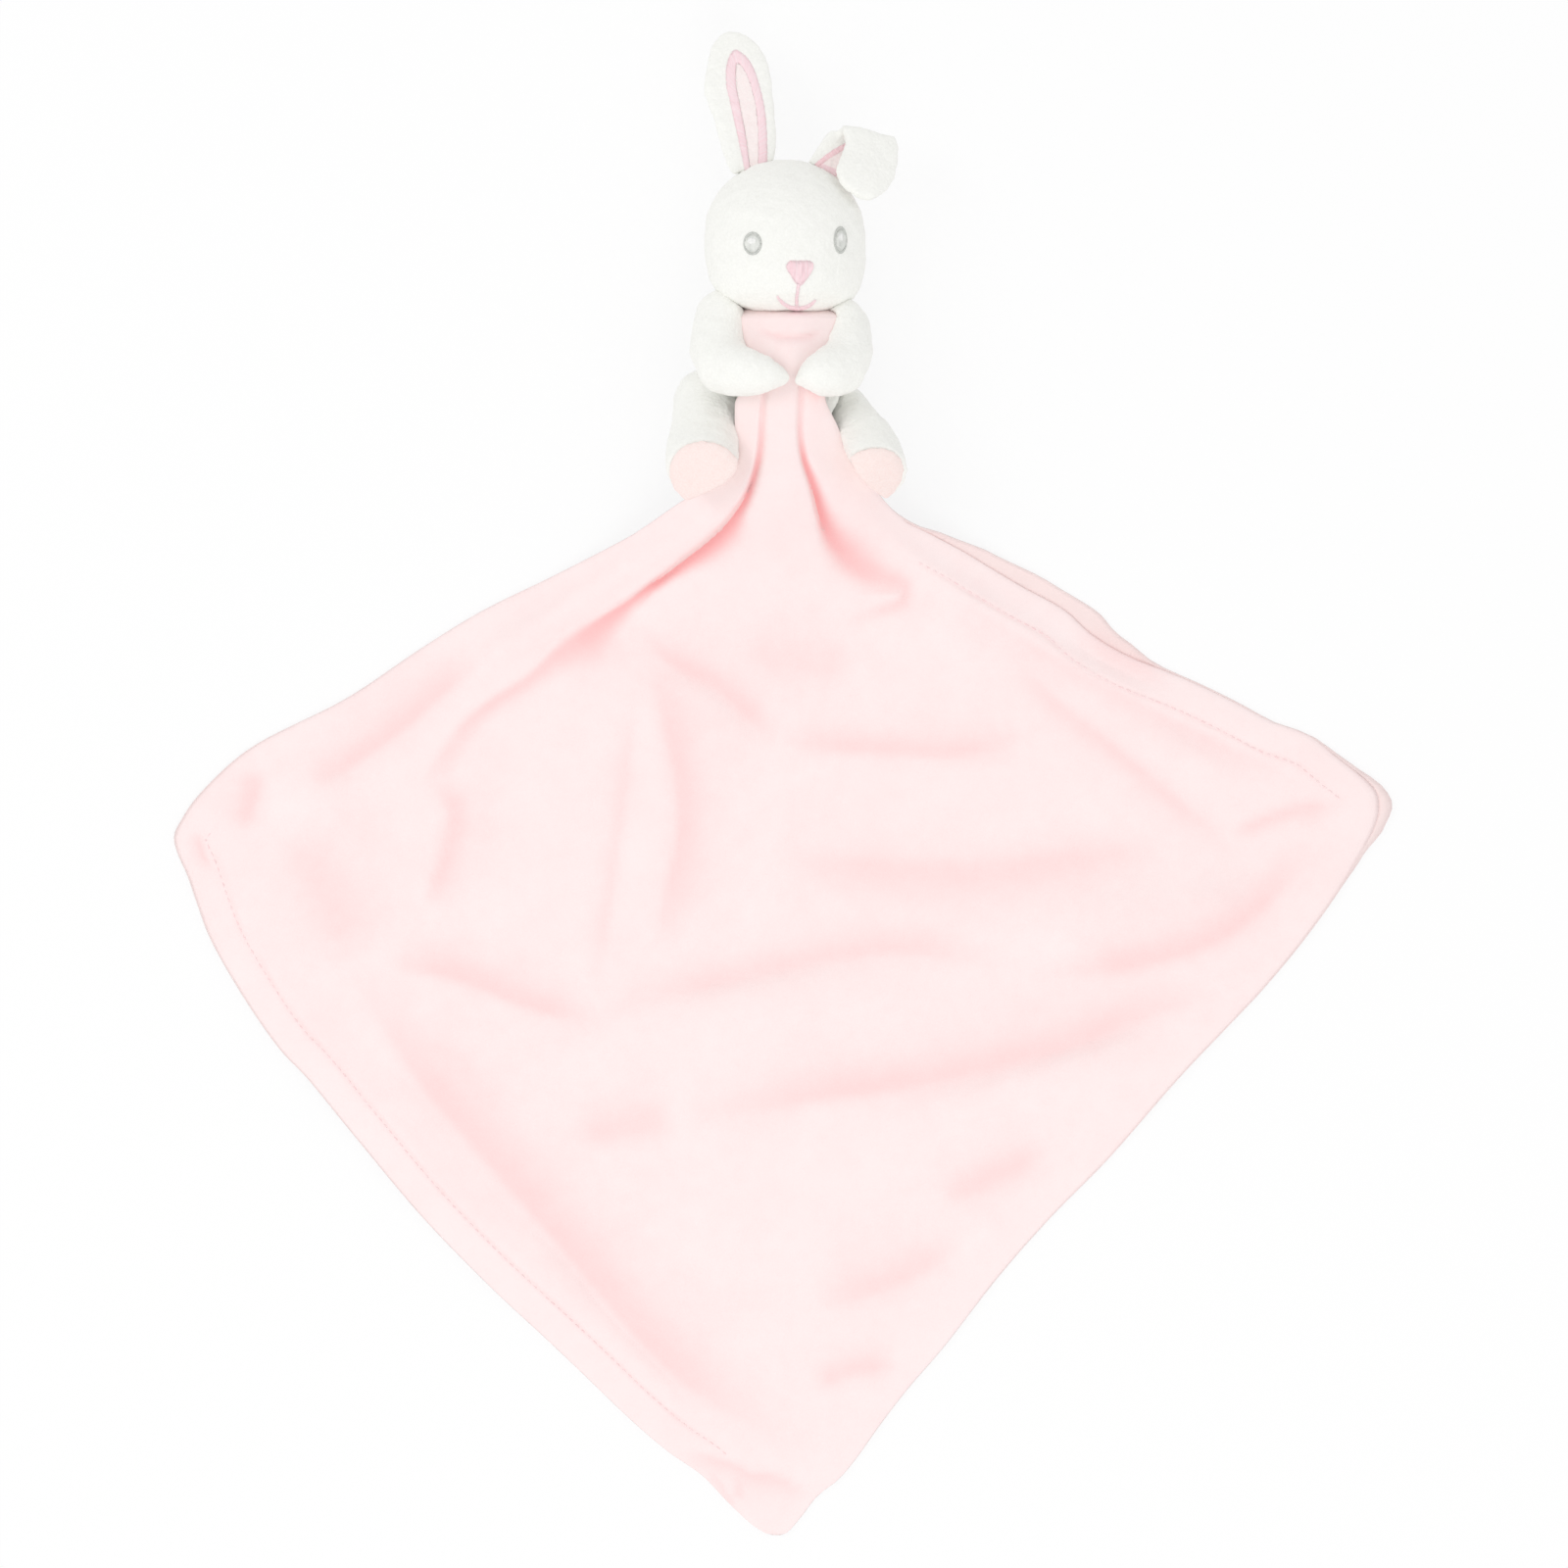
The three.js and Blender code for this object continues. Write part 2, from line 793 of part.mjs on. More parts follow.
function legForm(side, offset, past) {
  const centres = legCentres(side);
  const radii = [side.hipRadius, side.kneeRadius, side.footRadius];
  if (past) centres[2].addScaledVector(legAxis(side), past);
  return limbForm(centres, radii, offset, leg.sides, leg.rings, true);
}

function legReach(side, offset, steps) {
  const shapes = [];
  for (let step = 0; step <= steps; step++) {
    const swept = geometryOf(legForm(side, offset, 0));
    swept.translate(-side.hipX, -side.hipY, -side.hipZ);
    swept.rotateX(-radians((leg.swingUp * step) / steps));
    swept.translate(side.hipX, side.hipY, side.hipZ);
    shapes.push(solidOf(swept));
  }
  return joined(shapes);
}

// What a leg meets of the cloth as it swings up, seen from the leg
function passing(clothSpace, side) {
  const shapes = [];
  for (let step = 0; step <= leg.swingSteps; step++) {
    const passed = geometryOf(clothSpace);
    passed.translate(-side.hipX, -side.hipY, -side.hipZ);
    passed.rotateX(radians((leg.swingUp * step) / leg.swingSteps));
    passed.translate(side.hipX, side.hipY, side.hipZ);
    shapes.push(solidOf(passed));
  }
  return joined(shapes);
}

function sole(side) {
  const rows = soleProfileShares.map(
    ([along, wall, dome]) =>
      new THREE.Vector2(side.footRadius * along, leg.soleThickness * wall + leg.soleDome * dome + seamGap),
  );
  const profile = [new THREE.Vector2(0, seamGap), new THREE.Vector2(side.footRadius, seamGap), ...rows];
  const disc = new THREE.LatheGeometry(profile, leg.sides);
  const turn = new THREE.Quaternion().setFromUnitVectors(new THREE.Vector3(0, 1, 0), legAxis(side));
  disc.applyQuaternion(turn);
  disc.translate(side.footX, side.footY, side.footZ);
  return solidOf(disc);
}

function legPieces(name, side) {
  const cloth = passing(overCloth, side);
  const outer = legForm(side, 0, 0).subtract(cloth).subtract(belowFloor);
  const hollow = legForm(side, -plushWall, cutOverrun);
  const filling = legForm(side, -plushWall - stuffingGap, 0).subtract(passing(overStuffing, side));
  return [
    piece(name + "_leg_skin", largestBody(outer.subtract(hollow)), whitePlush),
    piece(name + "_leg_filling", largestBody(filling), stuffing),
    piece(name + "_foot_sole", largestBody(sole(side).subtract(cloth)), solePlush),
  ];
}

function bothLegs(offset, steps) {
  return legReach(rightLeg, offset, steps).add(legReach(leftLeg, offset, steps));
}

// Torso

function torsoPieces() {
  const ball = neckBall(seamGap, neckPivot);
  const keepOut = joined([bothLegs(seamGap, leg.swingSteps), headClearance, overCloth, belowFloor, ball]);
  const outer = torsoForm(0).subtract(keepOut);
  const hollow = torsoForm(-plushWall);
  const stuffingKeepOut = joined([bothLegs(plushWall, 1), headStuffingClearance, overStuffing, ball]);
  const filling = torsoForm(-plushWall - stuffingGap).subtract(stuffingKeepOut);
  return [
    piece("body_skin", largestBody(outer.subtract(hollow)), whitePlush),
    piece("body_filling", largestBody(filling), stuffing),
  ];
}

function tailPiece() {
  const ball = new THREE.SphereGeometry(tail.radius, tail.sides, tail.sides / 2);
  ball.translate(torso.middleX, tail.middleY, tail.middleZ);
  const solid = solidOf(ball).subtract(torsoForm(seamGap)).subtract(overCloth);
  return piece("tail", largestBody(solid), whitePlush);
}

// Arms, whose paws lie on the cloth and hold it against the chest

function armForm(side, offset) {
  const places = ["shoulder", "upper", "elbow", "wrist", "paw", "tip"];
  const centres = places.map((place) => new THREE.Vector3(side[place + "X"], side[place + "Y"], side[place + "Z"]));
  const radii = places.map((place) => side[place + "Radius"]);
  return limbForm(centres, radii, offset, arm.sides, arm.rings, false);
}

function armPieces(name, side) {
  const keepOut = torsoForm(seamGap).add(headClearance).add(underCloth);
  const outer = armForm(side, 0).subtract(keepOut);
  const hollow = armForm(side, -plushWall);
  const stuffingKeepOut = torsoForm(seamGap).add(headStuffingClearance).add(underStuffing);
  const filling = armForm(side, -plushWall - stuffingGap * 1.5).subtract(stuffingKeepOut);
  return [
    piece(name + "_arm_skin", largestBody(outer.subtract(hollow)), whitePlush),
    piece(name + "_arm_filling", largestBody(filling), stuffing),
  ];
}

// Ears: two plush panels with a pink patch and its stitched border on the front one.
// In an ear's own frame the hinge line of its base is X, and the ear stands along +Y.

const earStack = {
  back: [0, ear.panelThickness],
  front: [ear.panelThickness + seamGap, ear.panelThickness * 2 + seamGap],
};
const patchLevel = earStack.front[1] + seamGap;
const earThickness = patchLevel + ear.borderThickness;
const earMiddle = earThickness / 2;

function leafShape(outline, halfWidth, lean, inset) {
  const slope = Math.tan(radians(lean));
  const base = ear.earLength * outline[0][0] + inset;
  const rows = outline.map(([along, half]) => [Math.max(ear.earLength * along, base), halfWidth * half - inset]);
  const wide = rows.filter(([y, half], row) => half > seamGap && (row === 0 || y > base));
  const side = (sign) => wide.map(([y, half]) => new THREE.Vector2(y * slope + sign * half, y));
  const [lastY, lastHalf] = wide[wide.length - 1];
  const tipY = lastY + lastHalf * earTipShare;
  const tip = new THREE.Vector2(tipY * slope, tipY);
  return new THREE.Shape([...side(1), tip, ...side(-1).reverse()]);
}

function slab(shape, [bottom, top]) {
  const geometry = new THREE.ExtrudeGeometry(shape, { depth: top - bottom, bevelEnabled: false });
  geometry.translate(0, 0, bottom - earMiddle);
  return solidOf(geometry);
}

function withHole(shape, hole) {
  const ring = new THREE.Shape(shape.getPoints());
  ring.holes.push(new THREE.Path(hole.getPoints()));
  return ring;
}

function rightEarPieces() {
  const outline = leafShape(earOutlineShares, ear.halfWidth, rightEar.lean, 0);
  const patch = leafShape(patchOutlineShares, ear.liningHalfWidth, rightEar.lean, 0);
  const opening = leafShape(patchOutlineShares, ear.liningHalfWidth, rightEar.lean, ear.borderWidth);
  const lining = leafShape(patchOutlineShares, ear.liningHalfWidth, rightEar.lean, ear.borderWidth + seamGap);
  return [
    piece("right_ear_back", slab(outline, earStack.back), whitePlush),
    piece("right_ear_front", slab(outline, earStack.front), whitePlush),
    piece("right_ear_border", slab(withHole(patch, opening), [patchLevel, earThickness]), pinkThread),
    piece("right_ear_lining", slab(lining, [patchLevel, patchLevel + ear.liningThickness]), liningVelour),
  ];
}

// Folded ear: a short standing base and the free end that flops forward over its crease

const creaseLeft = new THREE.Vector2(leftEar.creaseLeftX, leftEar.creaseLeftY);
const creaseRight = new THREE.Vector2(leftEar.creaseRightX, leftEar.creaseRightY);
const creaseLine = creaseRight.clone().sub(creaseLeft);

function baseShape(from, to, start) {
  const across = (share) => creaseLeft.clone().lerp(creaseRight, share);
  const foot = (share) => new THREE.Vector2(leftEar.baseHalfWidth * (share * 2 - 1), start);
  return new THREE.Shape([foot(to), across(to), across(from), foot(from)]);
}

// Turned-over cloth along the crease, which both ends of the folded ear turn on
function creaseRoll(offset) {
  const radius = leftEar.rollRadius + offset;
  const roll = new THREE.CylinderGeometry(radius, radius, leftEar.rollLength + offset * 2, leftEar.rollSides);
  roll.rotateZ(Math.PI / 2);
  roll.translate(leftEar.rollStart + leftEar.rollLength / 2, 0, 0);
  return roll;
}

function leftEarBasePieces() {
  const rollSpace = creaseRoll(seamGap);
  rollSpace.rotateZ(creaseLine.angle());
  rollSpace.translate(creaseLeft.x, creaseLeft.y, earMiddle);
  const hollow = solidOf(rollSpace);
  const edge = ear.borderWidth / creaseLine.length();
  const gap = seamGap / creaseLine.length();
  const [from, to] = creasePatchShares;
  const start = ear.borderWidth / 2;
  const outer = baseShape(from, to, start);
  const inner = baseShape(from + edge, to - edge, start + ear.borderWidth);
  const lining = baseShape(from + edge + gap, to - edge - gap, start + ear.borderWidth + seamGap);
  const level = [patchLevel, earThickness];
  const liningLevel = [patchLevel, patchLevel + ear.liningThickness];
  const border = slab(outer, level).subtract(slab(inner, [patchLevel - seamGap, earThickness + seamGap]));
  return [
    piece("left_ear_base_back", slab(baseShape(0, 1, 0), earStack.back), whitePlush),
    piece("left_ear_base_front", slab(baseShape(0, 1, 0), earStack.front).subtract(hollow), whitePlush),
    piece("left_ear_base_border", border.subtract(hollow), pinkThread),
    piece("left_ear_base_lining", slab(lining, liningLevel).subtract(hollow), liningVelour),
  ];
}

// The free end in its crease frame: X along the crease, Y away from it, lining side down
function tipShape(inset) {
  const size = new THREE.Vector2(leftEar.tipWidth, leftEar.tipLength);
  const centre = new THREE.Vector2(...tipMiddleShares).multiply(size);
  const kept = 1 - inset / (leftEar.tipWidth / 2);
  const points = tipOutlineShares.map((place) =>
    new THREE.Vector2(...place).multiply(size).sub(centre).multiplyScalar(kept).add(centre),
  );
  return new THREE.Shape(points);
}

function tipSlab(inset, bottom, top) {
  const geometry = new THREE.ExtrudeGeometry(tipShape(inset), { depth: top - bottom, bevelEnabled: false });
  geometry.translate(0, seamGap, bottom);
  return solidOf(geometry);
}

function leftEarTipPieces() {
  const rise = seamGap;
  const patchTop = rise + ear.borderThickness;
  const frontStart = patchTop + seamGap;
  const backStart = frontStart + ear.panelThickness + seamGap;
  const margin = ear.halfWidth - ear.liningHalfWidth;
  const outer = tipSlab(margin, rise, patchTop);
  const opening = tipSlab(margin + ear.borderWidth, rise - seamGap, patchTop + seamGap);
  const lining = tipSlab(margin + ear.borderWidth + seamGap, patchTop - ear.liningThickness, patchTop);
  const front = tipSlab(0, frontStart, frontStart + ear.panelThickness).add(solidOf(creaseRoll(0)));
  return [
    piece("left_ear_tip_front", front, whitePlush),
    piece("left_ear_tip_back", tipSlab(0, backStart, backStart + ear.panelThickness), whitePlush),
    piece("left_ear_tip_border", outer.subtract(opening), pinkThread),
    piece("left_ear_tip_lining", lining, liningVelour),
  ];
}

// Slot in the head that an ear's base turns in
function earSlot(side, halfWidth) {
  const shapes = [];
  const height = cutOverrun;
  for (let step = 0; step <= ear.flopSteps; step++) {
    const flop = -side.flopBack + ((side.flopForward + side.flopBack) * step) / ear.flopSteps;
    const slot = new THREE.BoxGeometry((halfWidth + seamGap * 2) * 2, height, earThickness + seamGap * 2);
    slot.translate(0, height / 2 - seamGap, 0);
    slot.rotateX(radians((side.droop ?? 0) + flop));
    slot.rotateZ(radians(side.baseTurn));
    slot.translate(side.baseX, side.baseY, side.baseZ);
    shapes.push(solidOf(slot));
  }
  return joined(shapes);
}

// Head and the stitched face, in the head's own frame, which is turned a little on the neck

const ballInHead = new THREE.Vector3(0, neck.pivotY - head.middleY, 0);

function strokeShape(points, width) {
  const side = (sign) =>
    points.map((point, i) => {
      const next = points[Math.min(i + 1, points.length - 1)];
      const last = points[Math.max(i - 1, 0)];
      const along = next.clone().sub(last).normalize();
      return point.clone().add(new THREE.Vector2(-along.y, along.x).multiplyScalar((sign * width) / 2));
    });
  return new THREE.Shape([...side(1), ...side(-1).reverse()]);
}

// A stitched patch of the head's surface, cut by a shape that looks out at the given turn and slope
function stitched(shapes, turn, slope, y) {
  const reach = head.depth;
  const cutters = shapes.map((shape) => {
    const cutter = new THREE.ExtrudeGeometry(shape, { depth: reach, bevelEnabled: false });
    cutter.rotateX(radians(slope));
    cutter.translate(0, y, 0);
    cutter.rotateY(radians(turn));
    return solidOf(cutter);
  });
  const layer = headForm(seamGap + thread.height).subtract(headForm(seamGap));
  return largestBody(layer.intersect(joined(cutters)));
}

function ellipseShape(width, length) {
  const sides = 16;
  const points = Array.from({ length: sides }, (_, side) => {
    const angle = (2 * Math.PI * side) / sides;
    return new THREE.Vector2((width / 2) * Math.cos(angle), (length / 2) * Math.sin(angle));
  });
  return new THREE.Shape(points);
}

function noseShape() {
  const halfSize = new THREE.Vector2(face.noseWidth / 2, face.noseLength / 2);
  return new THREE.Shape(noseOutlineShares.map((place) => new THREE.Vector2(...place).multiply(halfSize)));
}

function mouthShapes() {
  const steps = 8;
  const smile = Array.from({ length: steps + 1 }, (_, step) => {
    const share = (2 * step) / steps - 1;
    return new THREE.Vector2((face.mouthWidth / 2) * share, face.mouthDepth * (share * share - 1));
  });
  const middle = new THREE.Vector2(0, -face.mouthDepth);
  const lip = new THREE.Vector2(0, face.philtrumLength - face.mouthDepth);
  return [strokeShape(smile, thread.strokeWidth), strokeShape([middle, lip], thread.strokeWidth)];
}

function headPieces() {
  const rightSlot = earSlot(rightEar, ear.halfWidth * earOutlineShares[0][1]);
  const slots = rightSlot.add(earSlot(leftEar, leftEar.baseHalfWidth));
  const floor = floorBlock(head.turn);
  const drop = new THREE.Vector3(0, 0, -head.depth / 2 + flatBackDepth).applyAxisAngle(
    new THREE.Vector3(0, 1, 0),
    -radians(head.turn),
  );
  floor.translate(...drop.toArray());
  const keepOut = slots.add(solidOf(floor)).add(neckBall(seamGap, ballInHead));
  const outer = headForm(0).subtract(keepOut);
  const filling = headForm(-plushWall - stuffingGap).subtract(keepOut);
  const eye = ellipseShape(face.eyeWidth, face.eyeLength);
  return [
    piece("head_skin", largestBody(outer.subtract(headForm(-plushWall))), whitePlush),
    piece("head_filling", largestBody(filling), stuffing),
    piece("right_eye", stitched([eye], -face.eyeAngle, 0, face.eyeY), greyThread),
    piece("left_eye", stitched([eye], face.eyeAngle, 0, face.eyeY), greyThread),
    piece("nose", stitched([noseShape()], 0, 0, face.noseY), pinkThread),
    piece("mouth", stitched(mouthShapes(), 0, face.mouthSlope, face.mouthY), pinkThread),
  ];
}

// Assembly

const toy = new THREE.Group();
toy.name = "comfort_blanket_rabbit";
toy.add(piece("blanket_front_panel", frontPanel, pinkVelour));
toy.add(piece("blanket_back_panel", backPanel, pinkBacking));
toy.add(...torsoPieces());
toy.add(tailPiece());
toy.add(...armPieces("right", rightArm));
toy.add(...armPieces("left", leftArm));
toy.add(...legPieces("right", rightLeg));
toy.add(...legPieces("left", leftLeg));

const neckFilling = piece("neck_filling", neckBall(0, new THREE.Vector3()), stuffing);
neckFilling.position.copy(neckPivot);
toy.add(neckFilling);

const headGroup = new THREE.Group();
headGroup.position.set(head.middleX, head.middleY, head.middleZ);
headGroup.rotation.y = radians(head.turn);
headGroup.add(...headPieces());
toy.add(headGroup);

const rightEarGroup = new THREE.Group();
rightEarGroup.position.set(rightEar.baseX, rightEar.baseY, rightEar.baseZ);
rightEarGroup.rotation.set(radians(rightEar.droop), 0, radians(rightEar.baseTurn), "ZYX");
rightEarGroup.add(...rightEarPieces());
headGroup.add(rightEarGroup);

const leftEarGroup = new THREE.Group();
leftEarGroup.position.set(leftEar.baseX, leftEar.baseY, leftEar.baseZ);
leftEarGroup.rotation.z = radians(leftEar.baseTurn);
leftEarGroup.add(...leftEarBasePieces());
headGroup.add(leftEarGroup);

const creaseGroup = new THREE.Group();
creaseGroup.position.set(creaseLeft.x, creaseLeft.y, earMiddle);
creaseGroup.rotation.z = creaseLine.angle();
leftEarGroup.add(creaseGroup);

const tipGroup = new THREE.Group();
tipGroup.scale.y = -1;
const tipTilt = new THREE.Group();
tipTilt.rotation.x = -radians(leftEar.foldAngle);
tipTilt.add(tipGroup);
tipGroup.add(...leftEarTipPieces());
creaseGroup.add(tipTilt);

// The origin is under the middle of the whole toy
toy.updateMatrixWorld(true);
const box = new THREE.Box3().setFromObject(toy, true);
const middle = box.getCenter(new THREE.Vector3());
toy.position.set(-middle.x, -middle.y, -box.min.z);
toy.updateMatrixWorld(true);

export default toy;
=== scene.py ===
"""Comfort blanket lovey: a white plush rabbit on its back, holding a pale pink velour blanket."""

import json
import math
from contextlib import contextmanager

import bmesh
import bpy
import numpy as np
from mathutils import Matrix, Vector
from mathutils.bvhtree import BVHTree


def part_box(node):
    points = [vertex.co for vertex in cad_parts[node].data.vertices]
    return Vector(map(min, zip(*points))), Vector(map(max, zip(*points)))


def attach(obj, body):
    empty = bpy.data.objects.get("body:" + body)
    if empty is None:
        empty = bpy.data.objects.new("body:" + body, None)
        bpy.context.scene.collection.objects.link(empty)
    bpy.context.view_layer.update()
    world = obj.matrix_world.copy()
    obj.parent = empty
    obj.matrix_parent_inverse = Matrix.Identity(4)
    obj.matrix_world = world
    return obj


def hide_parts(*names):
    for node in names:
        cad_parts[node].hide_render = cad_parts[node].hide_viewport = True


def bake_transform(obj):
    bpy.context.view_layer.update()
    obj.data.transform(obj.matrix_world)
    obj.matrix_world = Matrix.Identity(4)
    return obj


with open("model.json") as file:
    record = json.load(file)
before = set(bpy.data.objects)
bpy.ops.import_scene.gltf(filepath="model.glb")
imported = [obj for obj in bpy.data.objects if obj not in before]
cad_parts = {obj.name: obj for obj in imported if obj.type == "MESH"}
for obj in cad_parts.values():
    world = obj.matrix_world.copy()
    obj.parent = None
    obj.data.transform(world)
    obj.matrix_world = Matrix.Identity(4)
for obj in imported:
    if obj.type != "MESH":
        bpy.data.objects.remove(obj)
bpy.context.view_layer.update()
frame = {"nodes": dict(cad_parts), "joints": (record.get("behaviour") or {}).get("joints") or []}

MM = 0.001

# Camera: straight above the toy, as the flat lay was photographed

CAMERA_HEIGHT = 2.0
CAMERA_SIGHT = 10
SENSOR_WIDTH = 36
FRAME_WIDTH = 0.656
PHOTO_SIDE = 1600
PIXEL = FRAME_WIDTH / PHOTO_SIDE
CAMERA_PLACE = Vector((-0.0012, -0.000357, CAMERA_HEIGHT))
PHOTO_CENTRE = (800, 799)

bpy.ops.object.camera_add(location=CAMERA_PLACE, rotation=(0, 0, 0))
camera = bpy.context.object
camera.data.sensor_width = SENSOR_WIDTH
camera.data.lens = SENSOR_WIDTH * CAMERA_HEIGHT / FRAME_WIDTH
camera.data.clip_end = CAMERA_SIGHT
bpy.context.scene.camera = camera


def floor_point(u, v):
    """The point of the floor that a pixel of the photograph shows."""
    across = (u - PHOTO_CENTRE[0]) * PIXEL
    up = (PHOTO_CENTRE[1] - v) * PIXEL
    return Vector((CAMERA_PLACE.x + across, CAMERA_PLACE.y + up, 0))


# Shader maths


class Value:
    """A shader socket that takes part in Python sums."""

    def __init__(self, finish, socket):
        self.finish = finish
        self.socket = socket

    def join(self, operation, *terms):
        return self.finish.node("ShaderNodeMath", {"operation": operation}, dict(enumerate(terms)))

    def __add__(self, other):
        return self.join("ADD", self, other)

    def __radd__(self, other):
        return self.join("ADD", other, self)

    def __sub__(self, other):
        return self.join("SUBTRACT", self, other)

    def __rsub__(self, other):
        return self.join("SUBTRACT", other, self)

    def __mul__(self, other):
        return self.join("MULTIPLY", self, other)

    def clamped(self):
        return self.join("MINIMUM", self.join("MAXIMUM", self, 0), 1)


# Sockets of the colour mix node
MIX_SHARE = 0
MIX_FIRST = 6
MIX_SECOND = 7
MIX_RESULT = 2

CLOTH_SHINE = 0.2
THREAD_SHINE = 0.45


class Finish:
    """A material whose nodes are written as sums of values."""

    def __init__(self, name, roughness, sheen, sheen_tint=(1, 1, 1)):
        self.material = bpy.data.materials.new(name)
        self.material.use_nodes = True
        self.nodes = self.material.node_tree.nodes
        self.links = self.material.node_tree.links
        self.shader = self.nodes["Principled BSDF"]
        self.shader.inputs["Roughness"].default_value = roughness
        self.shader.inputs["Specular IOR Level"].default_value = CLOTH_SHINE
        self.shader.inputs["Sheen Weight"].default_value = sheen
        self.shader.inputs["Sheen Roughness"].default_value = 0.5
        self.shader.inputs["Sheen Tint"].default_value = (*sheen_tint, 1)
        self.place = self.node("ShaderNodeTexCoord", {}, {}, "Object")

    def node(self, kind, settings, inputs, output=0):
        """A new node with its settings and inputs, given as one of its outputs."""
        made = self.nodes.new(kind)
        for name, value in settings.items():
            setattr(made, name, value)
        for name, value in inputs.items():
            if isinstance(value, Value):
                self.links.new(value.socket, made.inputs[name])
            else:
                made.inputs[name].default_value = value
        return Value(self, made.outputs[output])

    def noise(self, size, detail, roughness=0.5):
        """Noise from 0 to 1 whose features measure about size, in metres."""
        inputs = {"Vector": self.place, "Scale": 1 / size, "Detail": detail, "Roughness": roughness}
        return self.node("ShaderNodeTexNoise", {}, inputs)

    def tufts(self, size):
        """Height of small tufts of pile, highest in the middle of each."""
        inputs = {"Vector": self.place, "Scale": 1 / size, "Randomness": 1.0}
        return 1 - self.node("ShaderNodeTexVoronoi", {"feature": "F1"}, inputs, "Distance")

    def attribute(self, name):
        return self.node("ShaderNodeAttribute", {"attribute_name": name}, {}, "Fac")

    def mixed(self, share, first, second):
        """A colour between two, each of them a colour or another mix."""
        first, second = (end if isinstance(end, Value) else (*end, 1) for end in (first, second))
        inputs = {MIX_SHARE: share, MIX_FIRST: first, MIX_SECOND: second}
        return self.node("ShaderNodeMix", {"data_type": "RGBA"}, inputs, MIX_RESULT)

    def paint(self, colour):
        self.links.new(colour.socket, self.shader.inputs["Base Color"])

    def bump(self, height, distance, strength):
        """Raises the surface by height, from 0 to 1, times distance in metres."""
        inputs = {"Strength": strength, "Distance": distance, "Height": height}
        normal = self.node("ShaderNodeBump", {}, inputs)
        self.links.new(normal.socket, self.shader.inputs["Normal"])


def srgb(red, green, blue):
    """A colour as the screen writes it, in the linear values that a shader takes."""
    return tuple(((c / 255 + 0.055) / 1.055) ** 2.4 for c in (red, green, blue))


PLUSH_TUFT = 1.1 * MM
FINE_TUFT = 0.8 * MM
VELOUR_NAP = 0.7 * MM


def plush_finish(name, lit, shaded, tuft):
    """Short pile: shaded between its tufts, lit on top of them."""
    finish = Finish(name, roughness=0.92, sheen=0.12)
    clumps = finish.noise(3.2 * MM, detail=3)
    fibres = finish.noise(0.5 * MM, detail=2, roughness=0.7)
    tufts = finish.tufts(tuft)
    shade = ((clumps - 0.5) * 0.55 + (fibres - 0.5) * 0.5 + (0.62 - tufts) * 0.6 + 0.25).clamped()
    finish.paint(finish.mixed(shade, lit, shaded))
    finish.bump(tufts * 0.5 + fibres * 0.35 + clumps * 0.5, distance=0.45 * MM, strength=0.55)
    return finish.material


def velour_finish(name, lit, deep, worn):
    """Cut-pile velour whose valleys, on the fold attribute, show a deeper colour as painted shade."""
    finish = Finish(name, roughness=0.85, sheen=0.15, sheen_tint=(1, 0.95, 0.95))
    fold = finish.attribute("fold")
    brushed = finish.noise(26 * MM, detail=3, roughness=0.55)
    patches = finish.noise(7 * MM, detail=3, roughness=0.6)
    pile = finish.noise(VELOUR_NAP, detail=2, roughness=0.7)
    base = finish.mixed((0.5 + (brushed - 0.5) * 1.5 + (patches - 0.5) * 0.7).clamped(), lit, worn)
    # Painted shade from the fold attribute, with a little random pile and patch noise
    depth = (fold + (pile - 0.5) * 0.16 + (patches - 0.5) * 0.08).clamped()
    finish.paint(finish.mixed(depth, base, deep))
    finish.bump(pile * 0.5 + patches * 0.6 + brushed * 1.2, distance=0.4 * MM, strength=0.5)
    return finish.material


def thread_finish(name, lit, deep):
    """Shiny embroidery thread: each strand has a tone of its own and a fine twist."""
    finish = Finish(name, roughness=0.42, sheen=0.1)
    finish.shader.inputs["Specular IOR Level"].default_value = THREAD_SHINE
    tone = finish.attribute("tone")
    twist = finish.noise(0.3 * MM, detail=2, roughness=0.6)
    finish.paint(finish.mixed((tone * 0.7 + (twist - 0.5) * 0.5 + 0.1).clamped(), lit, deep))
    finish.bump(twist, distance=0.12 * MM, strength=0.6)
    return finish.material


# Plush colours: lit on top of the tufts, and the painted shade between them
white_plush = plush_finish("white_plush", srgb(253, 253, 249), srgb(245, 245, 240), PLUSH_TUFT)
sole_velour = plush_finish("sole_velour", srgb(254, 239, 235), srgb(250, 226, 221), FINE_TUFT)
lining_velour = plush_finish("ear_lining_velour", srgb(255, 246, 244), srgb(254, 236, 235), FINE_TUFT)
# Each blanket panel: its colour, the deeper pink of the painted shade in its folds, and a worn tone. The back
# panel's colours are greyer than the front's, painted shade where it shows under the front's edge
front_velour = velour_finish(
    "blanket_front_velour", srgb(255, 239, 238), srgb(250, 176, 176), srgb(254, 234, 233)
)
back_velour = velour_finish(
    "blanket_back_velour", srgb(251, 232, 230), srgb(240, 190, 188), srgb(249, 229, 227)
)
pink_thread = thread_finish("pink_thread", srgb(255, 235, 239), srgb(255, 221, 227))
deep_pink_thread = thread_finish("deep_pink_thread", srgb(255, 228, 232), srgb(253, 212, 218))
hem_thread = thread_finish("hem_thread", srgb(254, 233, 233), srgb(251, 218, 219))
grey_thread = thread_finish("grey_thread", srgb(242, 243, 239), srgb(226, 228, 223))
dark_thread = thread_finish("dark_grey_thread", srgb(216, 218, 213), srgb(192, 194, 189))
# White thread for the eyes' glint, a painted highlight
painted_glint_thread = thread_finish("painted_glint_thread", srgb(254, 254, 252), srgb(242, 242, 240))


# Modelling helpers


def select_only(piece):
    bpy.ops.object.select_all(action="DESELECT")
    piece.select_set(True)
    bpy.context.view_layer.objects.active = piece


def shade_smooth(piece):
    select_only(piece)
    bpy.ops.object.shade_smooth()


